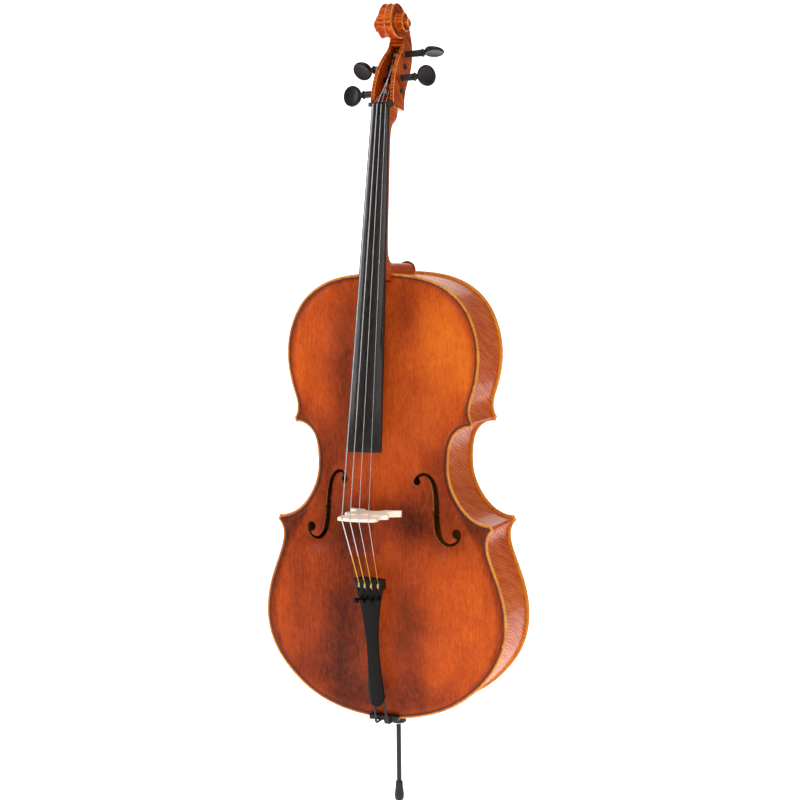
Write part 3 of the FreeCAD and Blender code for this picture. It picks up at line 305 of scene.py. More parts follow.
def mapleMaterial(name, flameAxis, grainAxis, turn=(0, 0, 0), glow=0.0, flameDepth=0.30, shadedDirtyChannel=False,
                  shine=0.0):
    # flamed maple under the same varnish: stripes across the grain that shift from gold to brown
    material, tree, shader = newMaterial(name)
    place = objectPlace(tree)
    turned = stretched(tree, place, (1, 1, 1), turn=turn)
    axes = {"X": 0, "Y": 1, "Z": 2}
    wander = noiseOf(tree, stretched(tree, place, (16, 16, 16)), 1.0, 3)
    split = add(tree, "ShaderNodeSeparateXYZ", {"Vector": turned})
    along = calculate(tree, "ADD", split.outputs[flameAxis], calculate(tree, "MULTIPLY", wander, 0.02))
    wave = calculate(tree, "SINE", calculate(tree, "MULTIPLY", along, 2 * math.pi / mapleVarnish["flame"]))
    bandScale = [22, 22, 22]
    bandScale[axes[flameAxis]] = 0.8 / mapleVarnish["flame"]
    bands = noiseOf(tree, stretched(tree, turned, tuple(bandScale)), 1.0, 3, 0.6, 0.4)
    flame = calculate(tree, "ADD", calculate(tree, "MULTIPLY", wave, 0.14), bands)
    fineScale = [800, 800, 800]
    fineScale[axes[grainAxis]] = 40
    fine = noiseOf(tree, stretched(tree, turned, tuple(fineScale)), 1.0, 4, 0.65)
    large = noiseOf(tree, stretched(tree, place, (10, 10, 10), move=(1.3, 2.2, 0.4)), 1.0, 3, 0.5, 0.5)
    tone = calculate(tree, "ADD", calculate(tree, "MULTIPLY", large, 0.25), 0.36 + glow)
    tone = mend(tree, tone, flameDepth, flame)
    tone = mend(tree, tone, 0.14, fine)
    # the low channel inside the edge is darkened: painted shade in the recess, together with dirt
    if shadedDirtyChannel:
        shadeAndDirt = channelShadeAndDirt(tree, place, mapleVarnish["edge"], mapleVarnish["channel"])
        tone = calculate(tree, "SUBTRACT", tone, calculate(tree, "MULTIPLY", shadeAndDirt, 0.24))
    colour = ramp(tree, tone, ((0.16, hexColour(mapleVarnish["brown"])),
                               (0.34, hexColour(mapleVarnish["red"])),
                               (0.52, hexColour(mapleVarnish["orange"])),
                               (0.74, hexColour(mapleVarnish["amber"]))))
    specks = noiseOf(tree, stretched(tree, place, (380, 380, 380)), 1.0, 3, 0.6)
    marks = ramp(tree, specks, ((0.29, grey(0.4)), (0.36, grey(1.0))))
    colour = mixColour(tree, 0.6, colour, marks, "MULTIPLY")
    tree.links.new(colour, shader.inputs["Base Color"])
    tree.links.new(ramp(tree, flame, ((0.3, grey(0.42)), (0.7, grey(0.30)))), shader.inputs["Roughness"])
    shader.inputs["Specular IOR Level"].default_value = mapleVarnish["gloss"]
    shader.inputs["Coat Weight"].default_value = shine
    shader.inputs["Coat Roughness"].default_value = 0.10
    tree.links.new(bump(tree, fine, 0.15, 0.0001), shader.inputs["Normal"])
    return material


def ebonyMaterial():
    # ebony, scraped and oiled: nearly black, faint brown streaks, long soft highlights
    material, tree, shader = newMaterial("ebonyOiled")
    place = objectPlace(tree)
    streaks = noiseOf(tree, stretched(tree, place, (500, 500, 12)), 1.0, 4, 0.6)
    colour = ramp(tree, streaks, ((0.35, hexColour("#0c0a09")), (0.7, hexColour("#241c19"))))
    tree.links.new(colour, shader.inputs["Base Color"])
    rough = ramp(tree, streaks, ((0.3, grey(0.30)), (0.7, grey(0.42))))
    tree.links.new(rough, shader.inputs["Roughness"])
    shader.inputs["Specular IOR Level"].default_value = 0.3
    tree.links.new(bump(tree, streaks, 0.15, 0.0001), shader.inputs["Normal"])
    return material


stringFinish = {"silkTop": 0.4525, "pitch": 0.5 * mm, "silk": "#dfa21c", "steel": "#c9cacc"}


def stringMaterial():
    # flat ribbon wound on a core: bright steel, wrapped in yellow silk by the tailpiece
    material, tree, shader = newMaterial("steelRibbonAndSilk")
    place = objectPlace(tree)
    height = add(tree, "ShaderNodeSeparateXYZ", {"Vector": place}).outputs["Z"]
    lap = calculate(tree, "SINE", calculate(tree, "MULTIPLY", height, 2 * math.pi / stringFinish["pitch"]))
    isSilk = calculate(tree, "LESS_THAN", height, stringFinish["silkTop"])
    colour = mixColour(tree, isSilk, hexColour(stringFinish["steel"]), hexColour(stringFinish["silk"]))
    tree.links.new(colour, shader.inputs["Base Color"])
    tree.links.new(calculate(tree, "SUBTRACT", 1.0, isSilk), shader.inputs["Metallic"])
    tree.links.new(calculate(tree, "ADD", calculate(tree, "MULTIPLY", isSilk, 0.4), 0.28),
                   shader.inputs["Roughness"])
    tree.links.new(bump(tree, lap, 0.35, 0.00005), shader.inputs["Normal"])
    return material


def rimMaterial(name, stain):
    # the plate's rounded edge: varnish worn through to gold, stained where it meets the inlay
    material, tree, shader = newMaterial(name)
    place = objectPlace(tree)
    worn = add(tree, "ShaderNodeAttribute", attribute_name="worn").outputs["Fac"]
    patches = noiseOf(tree, place, 26, 4, 0.6)
    fine = noiseOf(tree, place, 260, 4, 0.65)
    tone = calculate(tree, "ADD", calculate(tree, "MULTIPLY", worn, 0.38), 0.12)
    tone = mend(tree, tone, 0.5, patches)
    tone = mend(tree, tone, 0.4, fine)
    colour = ramp(tree, tone, ((0.15, hexColour(stain)), (0.35, hexColour("#b9601f")),
                               (0.52, hexColour("#e0932f")), (0.75, hexColour("#f0b04c"))))
    tree.links.new(colour, shader.inputs["Base Color"])
    shader.inputs["Roughness"].default_value = 0.38
    shader.inputs["Specular IOR Level"].default_value = 0.3
    tree.links.new(bump(tree, fine, 0.2, 0.0001), shader.inputs["Normal"])
    return material


def boardMaterial():
    # the fingerboard's ebony: dark with faint streaks, its gloss smudged where fingers and strings polish
    # it; the grey along both edges is left to reflections
    material, tree, shader = newMaterial("ebonyPolishedByHand")
    place = objectPlace(tree)
    streaks = noiseOf(tree, stretched(tree, place, (420, 420, 9)), 1.0, 4, 0.62)
    smudges = noiseOf(tree, stretched(tree, place, (60, 60, 22)), 1.0, 4, 0.6)
    colour = ramp(tree, streaks, ((0.35, hexColour("#0f0a08")), (0.7, hexColour("#2a201b"))))
    tree.links.new(colour, shader.inputs["Base Color"])
    mixed = calculate(tree, "ADD", calculate(tree, "MULTIPLY", streaks, 0.4),
                      calculate(tree, "MULTIPLY", smudges, 0.6))
    rough = ramp(tree, mixed, ((0.35, grey(0.24)), (0.65, grey(0.40))))
    tree.links.new(rough, shader.inputs["Roughness"])
    shader.inputs["Specular IOR Level"].default_value = 0.36
    tree.links.new(bump(tree, streaks, 0.10, 0.0001), shader.inputs["Normal"])
    return material


def plainMaterial(name, colour, roughness, metallic=0.0, grain=400, depth=0.1, coat=0.0, gloss=0.5):
    material, tree, shader = newMaterial(name)
    place = objectPlace(tree)
    speckle = noiseOf(tree, place, grain, 4, 0.6)
    low, high = hexColour(colour[0]), hexColour(colour[1])
    tree.links.new(ramp(tree, speckle, ((0.35, low), (0.65, high))), shader.inputs["Base Color"])
    spread = ramp(tree, speckle, ((0.3, grey(roughness - 0.05)), (0.7, grey(roughness + 0.07))))
    tree.links.new(spread, shader.inputs["Roughness"])
    shader.inputs["Metallic"].default_value = metallic
    shader.inputs["Specular IOR Level"].default_value = gloss
    shader.inputs["Coat Weight"].default_value = coat
    tree.links.new(bump(tree, speckle, depth, 0.0001), shader.inputs["Normal"])
    return material


finishes = {
    "spruce": spruceMaterial(),
    "mapleRibs": mapleMaterial("mapleFlamedRibs", "Z", "X", turn=(0.40, 0, 0), glow=0.13, flameDepth=0.60,
                               shine=0.22),
    "mapleBack": mapleMaterial("mapleFlamedBack", "Z", "X", turn=(0, 0.10, 0), glow=0.03, shadedDirtyChannel=True),
    "mapleNeck": mapleMaterial("mapleFlamedNeck", "Z", "Z", glow=0.10),
    "mapleHead": mapleMaterial("mapleFlamedHead", "Z", "Y", turn=(0.65, 0, 0), glow=0.05, flameDepth=1.05),
    # the same varnish rubbed thin on edges: bright gold
    "mapleWorn": plainMaterial("mapleVarnishWorn", ("#b8691f", "#e0a040"), 0.32, grain=180, coat=0.4),
    "ebony": ebonyMaterial(),
    # bare willow and spruce inside the box: dry and pale
    "innerWood": plainMaterial("willowScraped", ("#b58a58", "#caa272"), 0.75, grain=250),
    # dyed pearwood inlay: near black and dull
    "purfling": plainMaterial("pearwoodDyed", ("#140b07", "#22130c"), 0.55, grain=500),
    # bare maple with small flecks
    "bridge": plainMaterial("mapleScraped", ("#fbe6cd", "#fff3e2"), 0.6, grain=700),
    # moulded composite, satin, with a very fine grain
    "composite": plainMaterial("compositeMoulded", ("#0c0908", "#130f0d"), 0.30, grain=1500,
                               depth=0.05, gloss=0.11),
    "stringSteel": plainMaterial("steelFlatWound", ("#b9babd", "#d7d8da"), 0.30, 1.0, grain=900),
    "stringSilked": stringMaterial(),
    "blackPlate": plainMaterial("steelBlackPlated", ("#101011", "#1c1c1e"), 0.32, 0.9, grain=1200),
    "plainSteel": plainMaterial("steelTurned", ("#8d8e90", "#a9aaac"), 0.35, 1.0, grain=1200),
    "cord": plainMaterial("polyamideBraided", ("#0d0d0e", "#1b1b1d"), 0.6, grain=1400, depth=0.3),
    "rod": plainMaterial("steelBlackOxide", ("#2a2b2d", "#3a3b3e"), 0.33, 0.9, grain=900),
    "ring": plainMaterial("brassNickelled", ("#c9bf9c", "#ded6ba"), 0.25, 1.0, grain=900),
    "spruceRim": rimMaterial("spruceRimWorn", "#7a2c12"),
    "mapleBackRim": rimMaterial("mapleRimWorn", "#7a3014"),
    # dull brown cut wood in the sound holes
    "rimBare": plainMaterial("spruceCutEdge", ("#8a4f22", "#c08a4c"), 0.6, grain=300),
    "board": boardMaterial(),
    "rubber": plainMaterial("rubberMoulded", ("#121212", "#1d1d1d"), 0.62, grain=1600, depth=0.2),
}
print("materials made:", len(finishes))


def dress(name, finish):
    node = nodes[name]
    node.data.materials.clear()
    node.data.materials.append(finishes[finish])


cadFinish = {
    "spruce": ["top_plate"],
    "mapleBack": ["back_plate"],
    "mapleNeck": ["neck"],
    "mapleRibs": ["rib_%s_%s" % (p, s) for p in ("lower", "waist", "upper") for s in ("bass", "treble")],
    "purfling": ["purfling_front", "purfling_back"],
    "innerWood": ["linings_front", "linings_back", "top_block", "end_block", "corner_blocks", "bass_bar",
                  "sound_post"],
    "ebony": ["fingerboard", "nut", "saddle", "endpin_socket"] + ["peg_" + s for s in "cgda"],
    "bridge": ["bridge"],
    "composite": ["tailpiece"],
    "stringSilked": ["string_" + s for s in "cgda"],
    "stringSteel": ["winding_" + s for s in "cgda"],
    "blackPlate": ["tuner_screw_" + s for s in "cgda"] + ["thumbscrew"],
    "plainSteel": ["tuner_lever_" + s for s in "cgda"] + ["tuner_pivot"],
    "cord": ["tailgut"],
    "rod": ["endpin_rod"],
    "ring": ["endpin_ring"],
    "rubber": ["rubber_foot"],
}
for finish, names in cadFinish.items():
    for name in names:
        dress(name, finish)
print("CAD nodes dressed")


# mesh helpers

def finishMesh(name, mesh, body, materials, replaces=(), smoothAngle=None):
    # writes a bmesh to a new piece that rides on a CAD body
    bmesh.ops.remove_doubles(mesh, verts=mesh.verts, dist=1e-6)
    bmesh.ops.recalc_face_normals(mesh, faces=mesh.faces)
    data = bpy.data.meshes.new(name)
    mesh.to_mesh(data)
    mesh.free()
    piece = bpy.data.objects.new(name, data)
    bpy.context.scene.collection.objects.link(piece)
    for material in materials:
        data.materials.append(finishes[material])
    if smoothAngle is None:
        data.polygons.foreach_set("use_smooth", [True] * len(data.polygons))
    else:
        data.shade_smooth()
        data.set_sharp_from_angle(angle=math.radians(smoothAngle))
    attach(piece, body)
    if replaces:
        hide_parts(*replaces)
    return piece


def vertsOf(made):
    return [item for item in made["geom"] if isinstance(item, bmesh.types.BMVert)]


def sweep(mesh, sections, stripes=None):
    # extrudes a closed outline from section to section; stripes maps a place on it to a material
    place = mesh.verts.layers.int.new("place")
    ring = [mesh.verts.new(point) for point in sections[0]]
    for i, vert in enumerate(ring):
        vert[place] = i
    edges = [mesh.edges.new(pair) for pair in zip(ring, ring[1:] + ring[:1])]
    for section in sections[1:]:
        ring = set(vertsOf(bmesh.ops.extrude_edge_only(mesh, edges=edges)))
        for vert in ring:
            vert.co = section[vert[place]]
        edges = list({edge for vert in ring for edge in vert.link_edges if edge.other_vert(vert) in ring})
    for face in mesh.faces:
        lowest, highest = min(v[place] for v in face.verts), max(v[place] for v in face.verts)
        if stripes and highest == lowest + 1:
            face.material_index = stripes.get(lowest, 0)
    bmesh.ops.holes_fill(mesh, edges=mesh.edges, sides=0)


def spun(mesh, profile, steps=48):
    # turns (radius, height) points in millimetres about the local Z axis
    verts = [mesh.verts.new((r * mm, 0, h * mm)) for r, h in profile]
    edges = [mesh.edges.new(pair) for pair in zip(verts, verts[1:])]
    made = bmesh.ops.spin(mesh, geom=verts + edges, cent=(0, 0, 0), axis=(0, 0, 1), dvec=(0, 0, 0),
                          angle=2 * math.pi, steps=steps, use_merge=True)
    bmesh.ops.remove_doubles(mesh, verts=mesh.verts, dist=1e-7)
    return made


def softened(names, finish, width, segments=3, angle=35):
    # a copy of each CAD piece with its edges rounded over
    for name in names:
        node = nodes[name]
        data = node.data.copy()
        mesh = bmesh.new()
        mesh.from_mesh(data)
        mesh.transform(node.matrix_world)
        bmesh.ops.remove_doubles(mesh, verts=mesh.verts, dist=1e-6)
        bmesh.ops.dissolve_limit(mesh, angle_limit=math.radians(0.5), verts=mesh.verts, edges=mesh.edges)
        mesh.to_mesh(data)
        mesh.free()
        data.materials.clear()
        data.materials.append(finishes[finish])
        piece = bpy.data.objects.new(name + ".softened", data)
        bpy.context.scene.collection.objects.link(piece)
        data.shade_smooth()
        data.set_sharp_from_angle(angle=math.radians(angle))
        rounding = piece.modifiers.new("rounding", "BEVEL")
        rounding.width = width * mm
        rounding.segments = segments
        rounding.limit_method = "ANGLE"
        rounding.angle_limit = math.radians(angle)
        rounding.harden_normals = True
        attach(piece, bodyOf[name])
        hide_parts(name)


def smoothPath(table, steps):
    # a Catmull-Rom run through the rows of a table, a few steps to each row
    rows = [tuple(row) for row in table]
    out = []
    for i in range(len(rows) - 1):
        before, a, b, after = rows[max(0, i - 1)], rows[i], rows[i + 1], rows[min(len(rows) - 1, i + 2)]
        for k in range(steps):
            t = k / steps
            out.append(tuple(0.5 * (2 * q + (r - p) * t + (2 * p - 5 * q + 4 * r - s) * t * t
                                    + (3 * q - p - 3 * r + s) * t ** 3)
                             for p, q, r, s in zip(before, a, b, after)))
    out.append(rows[-1])
    return out


def up(height):
    return bodyBottom + height * mm


# neck, peg box and scroll
head = {
    # sections of the peg box, from the nut to the throat: back y, z, front y, z, half width,
    # and how far the cavity goes from the front towards the back
    "box": ((0.5, 1024, -46, 1031, 21.2, 0.0), (1.5, 1033, -46, 1038, 21, 0.0),
            (2.5, 1038, -46, 1043, 20.8, 0.62), (8, 1053, -43, 1059, 20.3, 0.74),
            (20, 1069, -36.5, 1076, 19.4, 0.78), (34, 1084.5, -27, 1092, 18.3, 0.79),
            (45, 1099.5, -15, 1105.5, 17.1, 0.78), (51.5, 1114, -2, 1116.5, 16, 0.74),
            (54.3, 1130, 10, 1125.5, 15, 0.60), (53.8, 1143, 18, 1134.5, 14.2, 0.02),
            (50.5, 1156, 22.5, 1146, 13.4, 0.0)),
    "eye": (2, 1168.5),
    # the spiral: angle from the back over the top, outer radius, half width
    "spiral": ((13, 38.6, 12.6), (49, 34.4, 11.8), (87, 34.6, 11.2), (119, 35.2, 11.5), (148, 36.0, 12.2),
               (175, 36.4, 13.0), (200, 34.2, 14.0), (230, 28.4, 15.4), (265, 24.0, 17.0), (300, 22.6, 18.6),
               (335, 23.0, 19.8), (370, 23.4, 20.9), (410, 21.0, 22.0), (450, 18.6, 23.2), (495, 17.4, 24.4),
               (540, 17.0, 25.4), (585, 15.2, 26.4), (630, 12.9, 27.4), (675, 11.8, 28.2), (720, 11.4, 29.0),
               (765, 10.4, 29.6), (810, 9.2, 30.2), (870, 8.2, 30.7), (930, 7.4, 31), (990, 6.9, 31.2)),
    "edge": 1.3,        # the chamfer's width
    "flute": 2.1,       # how deep each of the two channels runs
    "undercut": 3.6,
    "wall": 6.4,
    "eyeDrums": ((6.9, 31), (5.6, 32.1)),    # radius and reach to each side
}


def headHalf(back, front, half, cavity, undercut, flute):
    # half of a section, from its middle at the back round to the cavity: x, share of the way to the front
    depth = math.dist(back, front)
    edge = head["edge"] / depth
    flute = flute / depth
    chamfer = head["edge"]
    wall = head["wall"] * min(1, half / 15)
    inner = half - chamfer - (wall - chamfer) * min(1, cavity * 4) - 0.2
    return ((0, 0), (half * 0.06, 0.12 * flute), (half * 0.22, flute * 0.8), (half * 0.46, flute * 1.05),
            (half * 0.70, flute * 0.75), ((half - chamfer) * 0.96, flute * 0.12), (half - chamfer, 0),
            (half, edge),
            (half - undercut * 0.25, edge + (1 - 2 * edge) * 0.12),
            (half - undercut * 0.8, edge + (1 - 2 * edge) * 0.55),
            (half - undercut, 1 - edge), (half - undercut - chamfer * 0.8, 1), (inner + chamfer * 0.6, 1),
            (inner, 1 - edge * 0.6), (inner, 1 - cavity), (inner * 0.85, 1 - cavity))


def headSection(back, front, half, cavity, undercut, flute):
    right = headHalf(back, front, half, cavity, undercut, flute)
    both = right + tuple((-x, share) for x, share in reversed(right[1:]))
    return [(x * mm, (back[0] + (front[0] - back[0]) * share) * mm,
             up(back[1] + (front[1] - back[1]) * share)) for x, share in both]


def spiralSections():
    # the peg box's last section leads into the turns; each band's inner edge meets the next turn
    lastY, lastZ, throatY, throatZ, half, cavity = head["box"][-1]
    eyeY, eyeZ = head["eye"]
    start = math.degrees(math.atan2(lastZ - eyeZ, lastY - eyeY))
    first = (start, math.hypot(lastZ - eyeZ, lastY - eyeY), half)
    rows = smoothPath((first,) + head["spiral"], 6)
    sections = []
    for angle, radius, wide in rows:
        inside = next((r - 1.2 for a, r, w in rows if a >= angle + 360), radius * 0.45)
        turn = math.radians(angle)
        back = (eyeY + radius * math.cos(turn), eyeZ + radius * math.sin(turn))
        front = (eyeY + inside * math.cos(turn), eyeZ + inside * math.sin(turn))
        blend = min(1, (angle - start) / 60)
        front = tuple(low + (high - low) * blend for low, high in zip((throatY, throatZ), front))
        undercut = 0.6 + (head["undercut"] * (1 if angle < 700 else 0.4) - 0.6) * blend
        flute = head["flute"] * (1 if angle < 330 else 0.5)
        sections.append(headSection(back, front, wide, 0, undercut, flute))
    return sections


def makeHead():
    mesh = bmesh.new()
    sections = []
    for backY, backZ, frontY, frontZ, half, cavity in smoothPath(head["box"], 5)[:-1]:
        near = min(1, max(0, (backZ - 1110) / 50))
        sections.append(headSection((backY, backZ), (frontY, frontZ), half, max(0, cavity), near * 0.6,
                                    head["flute"] * (0.25 + 0.75 * near)))
    sections += spiralSections()
    count = len(sections[0])
    # the middle ridge and the chamfers, where hands have rubbed the varnish thin
    rubbed = (0, 6, 10, 12)
    stripes = {place: 1 for place in rubbed}
    stripes.update({count - 1 - place: 1 for place in rubbed[1:]})
    sweep(mesh, sections, stripes)
    eyeY, eyeZ = head["eye"]
    across = Matrix.Translation((0, eyeY * mm, up(eyeZ))) @ Matrix.Rotation(math.pi / 2, 4, "Y")
    for radius, half in head["eyeDrums"]:
        made = bmesh.ops.create_cone(mesh, cap_ends=True, segments=40, radius1=radius * mm,
                                     radius2=radius * mm, depth=2 * half * mm, matrix=across)
        rims = [e for e in mesh.edges if all(v in made["verts"] for v in e.verts) and len(e.link_faces) == 2
                and e.calc_face_angle() > 1]
        rounded = bmesh.ops.bevel(mesh, geom=rims, affect="EDGES", offset=0.7 * mm, segments=2,
                                  profile=0.5, material=-1)
        for face in rounded["faces"]:
            face.material_index = 1
    return finishMesh("scrollAndPegBox", mesh, "instrument", ["mapleHead", "mapleWorn"],
                      smoothAngle=38)


neck = {
    # sections down the neck and back along the heel:
    # back y, z, front y, z, half width, how square the section is
    "sections": ((4, 1030, -50, 1029, 14.5, 3.2), (4, 1023, -50.5, 1027, 14.8, 3.2),
                 (1.5, 1014, -51.5, 1020, 15.2, 3.0), (-7, 1006, -52.5, 1013, 15.4, 2.8),
                 (-20, 1000, -53.5, 1004, 15.5, 2.6), (-30, 988, -55, 988, 15.7, 2.3),
                 (-35, 960, -59.5, 960, 16.1, 2.2), (-43, 880, -71.5, 880, 17.4, 2.2),
                 (-50, 820, -80.8, 820, 18.4, 2.3), (-52.5, 795, -84.6, 795, 18.9, 2.5),
                 (-50.5, 783, -86, 775, 19.2, 2.8), (-43, 775.5, -86, 760, 19.3, 3.2),
                 (-30, 772, -86, 746, 19.3, 3.6), (-8, 770.5, -50, 743, 18.3, 4.2),
                 (20, 769.5, 5, 743, 16.8, 4.6), (42, 768.5, 38, 743, 15.6, 5.0),
                 (51, 766, 50, 743, 15.1, 5.0), (55.2, 760, 55.2, 743, 14.8, 5.0)),
    "points": 20,
}


def makeNeck():
    mesh = bmesh.new()
    sections = []
    for backY, backZ, frontY, frontZ, half, square in smoothPath(neck["sections"], 5):
        section = []
        for i in range(neck["points"] + 1):
            angle = math.pi * i / neck["points"]
            side, deep = math.cos(angle), math.sin(angle)
            x = half * math.copysign(abs(side) ** (2 / square), side)
            share = deep ** (2 / square)
            section.append((x * mm, (frontY + (backY - frontY) * share) * mm,
                            up(frontZ + (backZ - frontZ) * share)))
        sections.append(section)
    sweep(mesh, sections)
    return finishMesh("neckAndHeel", mesh, "instrument", ["mapleNeck"], replaces=["neck"],
                      smoothAngle=50)


makeHead()
makeNeck()
print("neck, peg box and scroll carved")


# tuning pegs and the turns of string on them
pegs = {
    # side, y, z, from the middle plane to the tip, how far the head is turned, where the string is wound
    "c": (-1, -13, 1055, 84, 8, 5.5),
    "g": (-1, 11, 1097, 75, -38, -1.0),
    "d": (1, 23, 1118, 83.5, 74, -1.5),
    "a": (1, -6, 1077, 80.5, 15, 5.5),
}
peg = {
    "big": 6.0, "taper": 0.022, "slope": 3.8,
    "long": 16.3, "wide": 18, "rim": 2.3, "shoulder": 3.9, "dish": 1.9,
    "windingWide": 7, "windingGap": 0.1,
}
stringRadius = {"c": 0.95, "g": 0.75, "d": 0.55, "a": 0.42}


def boxHalf(z):
    share = (z - 1030) / 170
    return 21 * (1 - share) + 13.5 * share


def pegPlace(name):
    # local Z runs from the middle plane out to the head
    side, y, z, reach, turn, wound = pegs[name]
    lay = Matrix.Rotation(math.radians(90 * side - peg["slope"]), 4, "Y")
    return Matrix.Translation((0, y * mm, up(z))) @ lay @ Matrix.Rotation(math.radians(turn), 4, "Z")


def pegRadius(name, at):
    reach = pegs[name][3]
    return peg["big"] - (reach - 2 * peg["long"] - at) * peg["taper"]


def makePegHead(mesh, reach):
    # a round leaf, dished on both faces, thick by the shaft and thin at the tip
    before = set(mesh.verts)
    outline = ((0, peg["dish"]), (6, peg["dish"] + 0.1), (11, peg["dish"] + 0.7),
               (14.6, peg["shoulder"] - 0.5), (15.6, peg["shoulder"]), (16.4, peg["shoulder"] - 0.2),
               (17.3, peg["rim"]), (17.9, 1.1), (18, 0))
    both = outline + tuple((r, -h) for r, h in reversed(outline[:-1]))
    spun(mesh, both, 56)
    leaf = [v for v in mesh.verts if v not in before]
    bmesh.ops.rotate(mesh, verts=leaf, cent=(0, 0, 0), matrix=Matrix.Rotation(math.pi / 2, 3, "X"))
    for v in leaf:
        along = v.co.z / (18 * mm)
        v.co.y *= 1.02 - 0.38 * along
        v.co.x *= peg["wide"] / 18 * (1 + 0.03 * along)
        v.co.z = v.co.z * peg["long"] / 18 + (reach - peg["long"]) * mm


def makePeg(name):
    side, y, z, reach, turn, wound = pegs[name]
    tip = -(boxHalf(z) + 3)
    foot = reach - 2 * peg["long"]
    shaft = ((0, tip), (pegRadius(name, tip) - 1, tip), (pegRadius(name, tip) - 0.3, tip + 0.3),
             (pegRadius(name, tip), tip + 1), (peg["big"], foot - 8), (peg["big"] - 0.5, foot - 7.2),
             (peg["big"] + 0.6, foot - 6.2), (peg["big"] + 1.3, foot - 5), (peg["big"] + 1.3, foot - 4.2),
             (peg["big"] + 0.5, foot - 3.2), (5.1, foot - 2), (4.7, foot), (5.0, foot + 3), (3.4, foot + 8),
             (0, foot + 9))
    mesh = bmesh.new()
    spun(mesh, shaft)
    makePegHead(mesh, reach)
    bmesh.ops.transform(mesh, matrix=pegPlace(name), verts=mesh.verts)
    return finishMesh("tuningPeg_" + name, mesh, "peg_%s_turning" % name, ["ebony"],
                      replaces=["peg_" + name], smoothAngle=40)


def makeWinding(name):
    # rings of string lie side by side round the peg
    wound = pegs[name][5]
    thick = stringRadius[name]
    turns = int(peg["windingWide"] / (2 * thick + peg["windingGap"]))
    mesh = bmesh.new()
    for i in range(turns):
        at = wound - peg["windingWide"] / 2 + (i + 0.5) * peg["windingWide"] / turns
        lap = pegRadius(name, at) + thick * 0.6
        loop = bmesh.ops.create_circle(mesh, segments=10, radius=thick * mm)["verts"]
        bmesh.ops.rotate(mesh, verts=loop, cent=(0, 0, 0), matrix=Matrix.Rotation(math.pi / 2, 3, "X"))
        bmesh.ops.translate(mesh, verts=loop, vec=(lap * mm, 0, at * mm))
        edges = list({edge for vert in loop for edge in vert.link_edges})
        bmesh.ops.spin(mesh, geom=loop + edges, cent=(0, 0, 0), axis=(0, 0, 1), dvec=(0, 0, 0),
                       angle=2 * math.pi, steps=32, use_merge=True)
    bmesh.ops.transform(mesh, matrix=pegPlace(name), verts=mesh.verts)
    return finishMesh("stringWinding_" + name, mesh, "peg_%s_turning" % name,
                      ["stringSteel"], replaces=["winding_" + name])


for letter in pegs:
    makePeg(letter)
    makeWinding(letter)
print("pegs turned")


# plates, with rubbed golden rims and painted shade with dirt in the channel inside them
plate = {
    "under": 57.7 * mm,       # a side face that reaches nearer the middle than this is the plate's own edge
    "bend": 50,               # degrees that the rim's rounding may turn from face to face
    "soundHoles": (0.112, 290, 428),
}


def rimFaces(mesh):
    # the outer side and all that rounds over from it: in front as far as the purfling's sharp
    # groove, and inside over the hollow, which the closed body hides
    reach, low, high = plate["soundHoles"]
    found = []
    for face in mesh.faces:
        middle = face.calc_center_median()
        inHole = abs(middle.x) < reach and up(low) < middle.z < up(high)
        if abs(face.normal.y) < 0.5 and not inHole and min(abs(v.co.y) for v in face.verts) < plate["under"]:
            found.append(face)
    rim = set(found)
    while found:
        face = found.pop()
        for edge in face.edges:
            if len(edge.link_faces) != 2 or edge.calc_face_angle(math.pi) > math.radians(plate["bend"]):
                continue
            for other in edge.link_faces:
                if other not in rim:
                    rim.add(other)
                    found.append(other)
    return rim


def makePlate(name, finish):
    node = nodes[name]
    data = node.data.copy()
    mesh = bmesh.new()
    mesh.from_mesh(data)
    bmesh.ops.remove_doubles(mesh, verts=mesh.verts, dist=1e-6)
    rim = rimFaces(mesh)
    worn = mesh.verts.layers.float.new("worn")
    for vert in mesh.verts:
        vert[worn] = 1
    for face in mesh.faces:
        if face in rim:
            face.material_index = 1
            continue
        if abs(face.normal.y) < 0.5:
            face.material_index = 2
        for vert in face.verts:
            vert[worn] = 0
    # clearing the materials resets the faces' own indices, so it comes before the mesh is written
    data.materials.clear()
    for material in (finish, finish + "Rim", "rimBare"):
        data.materials.append(finishes[material])
    mesh.to_mesh(data)
    mesh.free()
    piece = bpy.data.objects.new(name + ".varnished", data)
    bpy.context.scene.collection.objects.link(piece)
    data.shade_smooth()
    data.set_sharp_from_angle(angle=math.radians(40))
    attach(piece, "instrument")
    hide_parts(name)


makePlate("top_plate", "spruce")
makePlate("back_plate", "mapleBack")
print("plates varnished")


# smaller fittings
softened(["fingerboard"], "board", 0.7)
softened(["nut", "saddle"], "ebony", 1.1)
softened(["bridge"], "bridge", 0.5, segments=2)
softened(["tailpiece"], "composite", 0.5, segments=2)
softened(["endpin_socket"], "ebony", 0.6)
softened(["endpin_ring"], "ring", 0.3, segments=2)
softened(["rubber_foot"], "rubber", 0.8)
softened(["endpin_rod"], "rod", 0.4, segments=2)
softened(["tuner_lever_" + letter for letter in pegs], "plainSteel", 0.25, segments=2)
print("fittings rounded")


# knurled screws
tail = {"depth": 97, "bottom": 28, "tilt": 8.3, "radius": 60, "gap": 11.4, "screwUp": 190, "pivotBack": 13.5}


